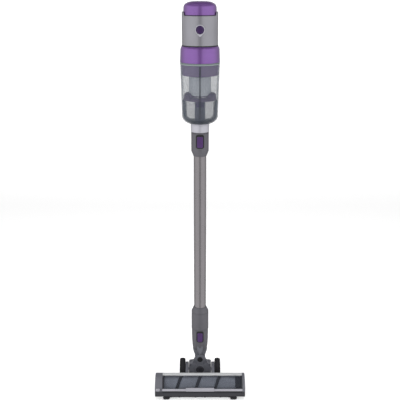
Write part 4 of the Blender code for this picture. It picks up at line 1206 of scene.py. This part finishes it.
def wheel(side):
    """One rear wheel: a grooved tyre with notched shoulders, on a hub with round windows."""
    word = "left" if side < 0 else "right"
    at = spot(f"wheel_{word}_spin", HEAD)
    low, high = span(f"wheel_tyre_{word}", HEAD)
    radius, half = (high.z - low.z) / 2, (high.x - low.x) / 2

    def tread(angle):
        notch = 0.9 if angle % TREAD_PITCH < TREAD_NOTCH else 0.0
        shoulder = radius - 0.9 - notch
        outer = [(24.4, half, 0.4), (radius - 3.4, half, 2), (shoulder, half - 2.4, 0.8),
                 (radius - 0.3, half - 4.2, 0.3), (radius - 1.2, half - 4.8, 0.2),
                 (radius - 1.2, half - 5.6, 0.2), (radius - 0.02, half - 6.2, 0.3)]
        return fillet([*outer, *[(reach, -x, soft) for reach, x, soft in reversed(outer)]], True, 2)

    tyre = spun(f"tyre_{word}", tread, across(*at), steps=216)
    settle(tyre, RUBBER, f"wheel_{word}", f"wheel_tyre_{word}")
    low, high = span(f"wheel_hub_{word}", HEAD)
    face = (high.x - low.x) / 2 - 0.05
    bore = span("wheel_axle", HEAD)[1].z - AXLE.z + 0.3
    outer = [(bore, face, 0.3), (8.6, face, 0.6), (10.2, face - 3.2, 1.2), (20.4, face - 3.2, 1.2),
             (21, face, 0.6), (24, face, 0.4)]
    hub = outer + [(reach, -x, soft) for reach, x, soft in reversed(outer)]
    disc_piece = ring(f"hub_{word}", hub, across(*at), steps=PLAIN)
    windows = []
    for i in range(HUB_WINDOWS):
        angle = math.tau * (i + 0.5) / HUB_WINDOWS
        centre = (at.y + 15.3 * math.cos(angle), at.z + 15.3 * math.sin(angle))
        windows.append(disc("window", 3.6, at.x - 20, at.x + 20, centre, "x", HEAD, 0, 40))
    settle(subtract(disc_piece, *windows), CHARCOAL, f"wheel_{word}", f"wheel_hub_{word}")


def front_roller(word):
    at = spot(f"roller_{word}_spin", HEAD)
    low, high = span(f"front_roller_{word}", HEAD)
    half = (high.x - low.x) / 2
    side = [(0, half, 0), (1.5, half, 0.3), (1.5, half - 1, 0.2), (4.2, half - 1.1, 0.8),
            (5.5, half - 2.9, 1), (5.98, half - 5.8, 1.5), (5.98, 0.6, 0.2), (5.5, 0, 0.3)]
    profile = side + [(reach, -x, soft) for reach, x, soft in reversed(side[:-1])]
    roller = spun(f"roller_{word}", fillet(profile, False), across(*at), steps=48)
    settle(roller, RUBBER, f"roller_{word}", f"front_roller_{word}")


# ---------------------------------------------------------------- handle, trigger and battery

SQUARENESS = 2.4  # 2 gives the handle an oval section, and more squares it
SKIN = 0.9  # thickness of the soft grip
ABOVE = 1060  # a height over the whole handle
BATTERY_RIBS = 5


def catmull(points, per_span):
    """A smooth path through points, with the ends carried on straight."""
    route = [2 * points[0] - points[1], *points, 2 * points[-1] - points[-2]]
    path = []
    for a, b, c, d in zip(route, route[1:], route[2:], route[3:]):
        for i in range(per_span):
            t = i / per_span
            path.append(0.5 * (2 * b + (c - a) * t + (2 * a - 5 * b + 4 * c - d) * t * t
                               + (3 * b - a - 3 * c + d) * t ** 3))
    path.append(points[-1])
    return path


def swept(name, path, width, depth, first=0, last=360):
    """A bar along a path in the pole's middle plane. width gives its half width along the path, 0 to 1."""
    cage = bmesh.new()
    rows = []
    count = len(path)
    sides = 48
    whole = last - first >= 360
    for i, point in enumerate(path):
        ahead = (path[min(i + 1, count - 1)] - path[max(i - 1, 0)]).normalized()
        normal = Vector((0, -ahead.z, ahead.y))
        share = i / (count - 1)
        row = []
        for k in range(sides + (0 if whole else 1)):
            angle = math.radians(first + (last - first) * k / sides)
            c, s = math.cos(angle), math.sin(angle)
            a = abs(c) ** (2 / SQUARENESS) * math.copysign(1, c) * width(share)
            b = abs(s) ** (2 / SQUARENESS) * math.copysign(1, s) * depth
            row.append(cage.verts.new(point + Vector((a, 0, 0)) + normal * b))
        rows.append(row)
    for here, there in zip(rows, rows[1:]):
        for k in range(len(here) if whole else len(here) - 1):
            other = (k + 1) % len(here)
            cage.faces.new((here[k], here[other], there[other], there[k]))
    if whole:
        cage.faces.new(rows[0])
        cage.faces.new(list(reversed(rows[-1])))
    piece = mesh_piece(name, cage, POLE)
    if not whole:
        solid = piece.modifiers.new("Skin", "SOLIDIFY")
        solid.thickness = SKIN * MM
        solid.offset = 1
    return piece


def handle():
    """The loop handle: an arm with a soft skin at its rear, its saddle, and the bridge over the battery."""
    top = span("mode_button")[0].z + 3
    route = ((36, 979), (56, 993), (80, top - 11.5), (103, top - 13.5), (122, 986), (133.5, 966), (137, 940),
             (137.2, 918), (136.8, 900))
    path = catmull([Vector((0, y, s)) for y, s in route], 12)
    arm = swept("handle_arm", path, lambda t: 13.4 + 1.2 * math.exp(-((t / 0.14) ** 2)), 14.6)
    low, high = span("handle")
    bridge_top, bridge_foot = 908.0, low.z
    section = rounded_box(-15.9, 15.9, bridge_foot + 0.1, bridge_top, 4.5)
    bridge = slab("handle_bridge", section, 40, high.y - 0.1, "y", width=3.2, steps=5)
    reach = BODY_R + 0.3
    clear = [(0, ABOVE, 0), (reach, ABOVE, 0), (reach, 929, 0), (53.6, 928, 0), (53.6, 800, 0), (0, 800, 0)]
    finger_low, finger_high = span("trigger")
    pocket = (finger_low + Vector((-0.5, -14, -0.6)), finger_high + Vector((0.5, 5.6, 0.6)))
    mode_low, mode_high = span("mode_button")
    mode = (mode_low + mode_high) / 2
    subtract(
        arm,
        spun("clear", fillet(clear, False)),
        block("pocket", *pocket, POLE, 1.0),
        disc("mode_well", 7.4, mode_low.z - 3, mode_high.z + 12, (0, mode.y), "z", width=0),
    )
    settle(arm, CHARCOAL, "unit", "handle")
    subtract(bridge, spun("clear", fillet(clear, False)))
    settle(bridge, CHARCOAL, "unit")
    soft = swept("soft_back", path[50:96], lambda t: 13.7, 14.75, 188, 352)
    settle(soft, SOFT_GRIP, "unit")
    saddle = slab("handle_saddle", rounded_box(-17, 17, 958, 997, 8), 40, 54.5, "y", width=3.0, steps=4)
    clear = [(0, ABOVE, 0), (reach, ABOVE, 0), (reach, 900, 0), (0, 900, 0)]
    subtract(saddle, spun("clear", fillet(clear, False)))
    settle(saddle, CHARCOAL, "unit")


def trigger():
    """The trigger inside the loop, hollowed for a finger, and the round mode button on top of the handle."""
    low, high = span("trigger")
    corners = [(high.y, low.z + 0.1, 0.8), (high.y, high.z - 0.1, 0.8), (low.y + 3.0, high.z - 0.1, 3),
               (low.y + 0.2, high.z - 6, 5), (low.y + 3.4, (low.z + high.z) / 2, 14),
               (low.y + 0.1, low.z + 4.5, 4), (low.y + 2.2, low.z + 0.1, 2)]
    lever = slab("trigger_lever", points_of(corners), low.x + 0.05, high.x - 0.05, "x", width=1.6, steps=4)
    settle(lever, PURPLE, "trigger", "trigger")
    low, high = span("mode_button")
    middle = (low + high) / 2
    dish = [(0, high.z - 0.8, 0), (4.2, high.z - 0.5, 4), (6.2, high.z, 0.6), (6.95, high.z - 0.9, 0.5),
            (6.95, low.z, 0.2), (0, low.z, 0)]
    key = spun("mode_key", fillet(dish, False), POLE @ Matrix.Translation((0, middle.y, 0)), steps=64)
    settle(key, PURPLE, "mode_button", "mode_button")


def battery():
    """The ribbed battery case, open at the top, and its latch."""
    low, high = span("battery_case")
    outline = rounded_box(low.x + 0.05, high.x - 0.05, low.y + 0.05, high.y - 0.05, 9)
    case = slab("battery_shell", outline, low.z + 0.05, high.z - 0.05, "z", width=2.6, steps=5,
                ends=(True, False))
    inner = rounded_box(low.x + 2.5, high.x - 2.5, low.y + 2.5, high.y - 2.5, 6.6)
    cuts = [slab("room", inner, low.z + 2.5, high.z + 10, "z")]
    latch_low, latch_high = span("battery_latch")
    cuts.append(block("latch_hole", (latch_low.x - 0.4, high.y - 8, latch_low.z - 0.4),
                      (latch_high.x + 0.4, high.y + 6, latch_high.z + 0.4)))
    for side in (-1, 1):
        inner_x, outer_x = sorted((side * (high.x - 0.9), side * (high.x + 3)))
        for row in range(BATTERY_RIBS):
            level = low.z + 13 + 9.5 * row
            rib = block("rib", (inner_x, low.y + 17, level), (outer_x, high.y - 17, level + 2.2), POLE, 0.4)
            cuts.append(rib)
    settle(subtract(case, *cuts), CHARCOAL, "battery", "battery_case")
    key = slab("latch_key", rounded_box(latch_low.x, latch_high.x, latch_low.z, latch_high.z, 3),
               latch_low.y, latch_high.y - 0.05, "y", width=0.9, steps=3)
    left, right, face = latch_low.x + 3, latch_high.x - 3, latch_high.y
    grooves = [block("groove", (left, face - 0.8, level - 0.5), (right, face + 3, level + 0.5))
               for level in (latch_low.z + 5, latch_low.z + 8, latch_low.z + 11)]
    settle(subtract(key, *grooves), PURPLE, "battery_latch", "battery_latch")


# ---------------------------------------------------------------- making everything

body_shells()
release_button()
top_cap()
purple_ring()
bin_shell()
bin_liner()
inlet()
cyclone()
upper_sleeve()
lower_sleeve()
wand_tube()
elbow()
tongue()
carriage()
pin_and_cap()
head_window()
rear_cover()
front_trim()
tray()
end_caps()
brush_roller()
bristle_rows()
for hand in (-1, 1):
    wheel(hand)
for hand in ("left", "right"):
    front_roller(hand)
handle()
trigger()
battery()


# ---------------------------------------------------------------- floor, light and camera

PAPER = surface("studio_paper", (250, 250, 250), 0.9, grain=300, depth=0.00002, spread=0.004,
                Emission_Strength=0.55)
SKY_STOPS = (0.0, 0.2), (0.035, 0.2), (0.08, 0.8), (0.5, 0.8), (0.72, 0.35), (1.0, 0.35)  # front to back
LENS, SENSOR = 59.38, 36
CAMERA_BACK, CAMERA_HEIGHT, CAMERA_TILT = 1.85, 1.0252, 76.251


def studio_floor():
    """A pale floor that curves up into the backdrop behind the object."""
    cage = bmesh.new()
    wide, run, bend = 4.0, 2.2, 1.2
    profile = [(-3.2, 0.0), (run, 0.0)]
    profile += [(run + bend * math.sin(math.radians(a)), bend - bend * math.cos(math.radians(a)))
                for a in range(6, 91, 6)]
    profile.append((run + bend, 5.0))
    rows = [[cage.verts.new((x, y, z)) for y, z in profile] for x in (-wide, wide)]
    for i in range(len(profile) - 1):
        cage.faces.new((rows[0][i], rows[1][i], rows[1][i + 1], rows[0][i + 1]))
    bmesh.ops.recalc_face_normals(cage, faces=cage.faces)
    mesh = bpy.data.meshes.new("studio_floor")
    cage.to_mesh(mesh)
    cage.free()
    mesh.shade_smooth()
    floor = bpy.data.objects.new("studio_floor", mesh)
    bpy.context.scene.collection.objects.link(floor)
    mesh.materials.append(PAPER)
    floor.visible_glossy = floor.visible_diffuse = False


def soft_light(name, place, aim, wide, tall, power):
    data = bpy.data.lights.new(name, "AREA")
    data.shape = "RECTANGLE"
    data.size, data.size_y = wide, tall
    data.energy = power
    lamp = bpy.data.objects.new(name, data)
    lamp.location = place
    lamp.visible_glossy = False
    lamp.rotation_euler = (Vector(aim) - Vector(place)).to_track_quat("-Z", "Y").to_euler()
    bpy.context.scene.collection.objects.link(lamp)


def studio():
    """Light from all round, darker in front and overhead, with three area lights."""
    world = bpy.data.worlds.new("studio")
    world.use_nodes = True
    tree = world.node_tree
    way = add_node(tree, "SeparateXYZ", Vector=add_node(tree, "TexCoord").outputs["Generated"]).outputs
    azimuth = maths(tree, "ARCTAN2", way["X"], maths(tree, "MULTIPLY", way["Y"], -1))
    share = maths(tree, "DIVIDE", maths(tree, "ABSOLUTE", azimuth), math.pi)
    ramp = add_node(tree, "ValToRGB", Fac=share)
    while len(ramp.color_ramp.elements) < len(SKY_STOPS):
        ramp.color_ramp.elements.new(0.5)
    for stop, (at, level) in zip(ramp.color_ramp.elements, SKY_STOPS):
        stop.position = at
        stop.color = (level, level, level, 1)
    backdrop = tree.nodes["Background"].inputs
    feed(tree, backdrop["Color"], ramp.outputs["Color"])
    feed(tree, backdrop["Strength"], ranged(tree, way["Z"], 0.45, 0.7, 1.15, 0.3))
    bpy.context.scene.world = world
    middle = (0, 0, 0.55)
    soft_light("left_box", (-1.5, -1.2, 1.0), middle, 1.0, 1.9, 12)
    soft_light("right_box", (1.6, -1.1, 1.0), middle, 1.0, 1.9, 8)
    soft_light("top_box", (0, -0.3, 2.3), middle, 1.6, 1.2, 18)
    bpy.context.scene.view_settings.view_transform = "Standard"


def camera():
    """The viewing angle of the reference: from the front, at head height, looking down at the object."""
    data = bpy.data.cameras.new("camera")
    data.lens, data.sensor_width = LENS, SENSOR
    made = bpy.data.objects.new("camera", data)
    made.location = (0, PIN.y - CAMERA_BACK, CAMERA_HEIGHT)
    made.rotation_euler = (math.radians(CAMERA_TILT), 0, 0)
    bpy.context.scene.collection.objects.link(made)
    bpy.context.scene.camera = made


studio_floor()
studio()
camera()
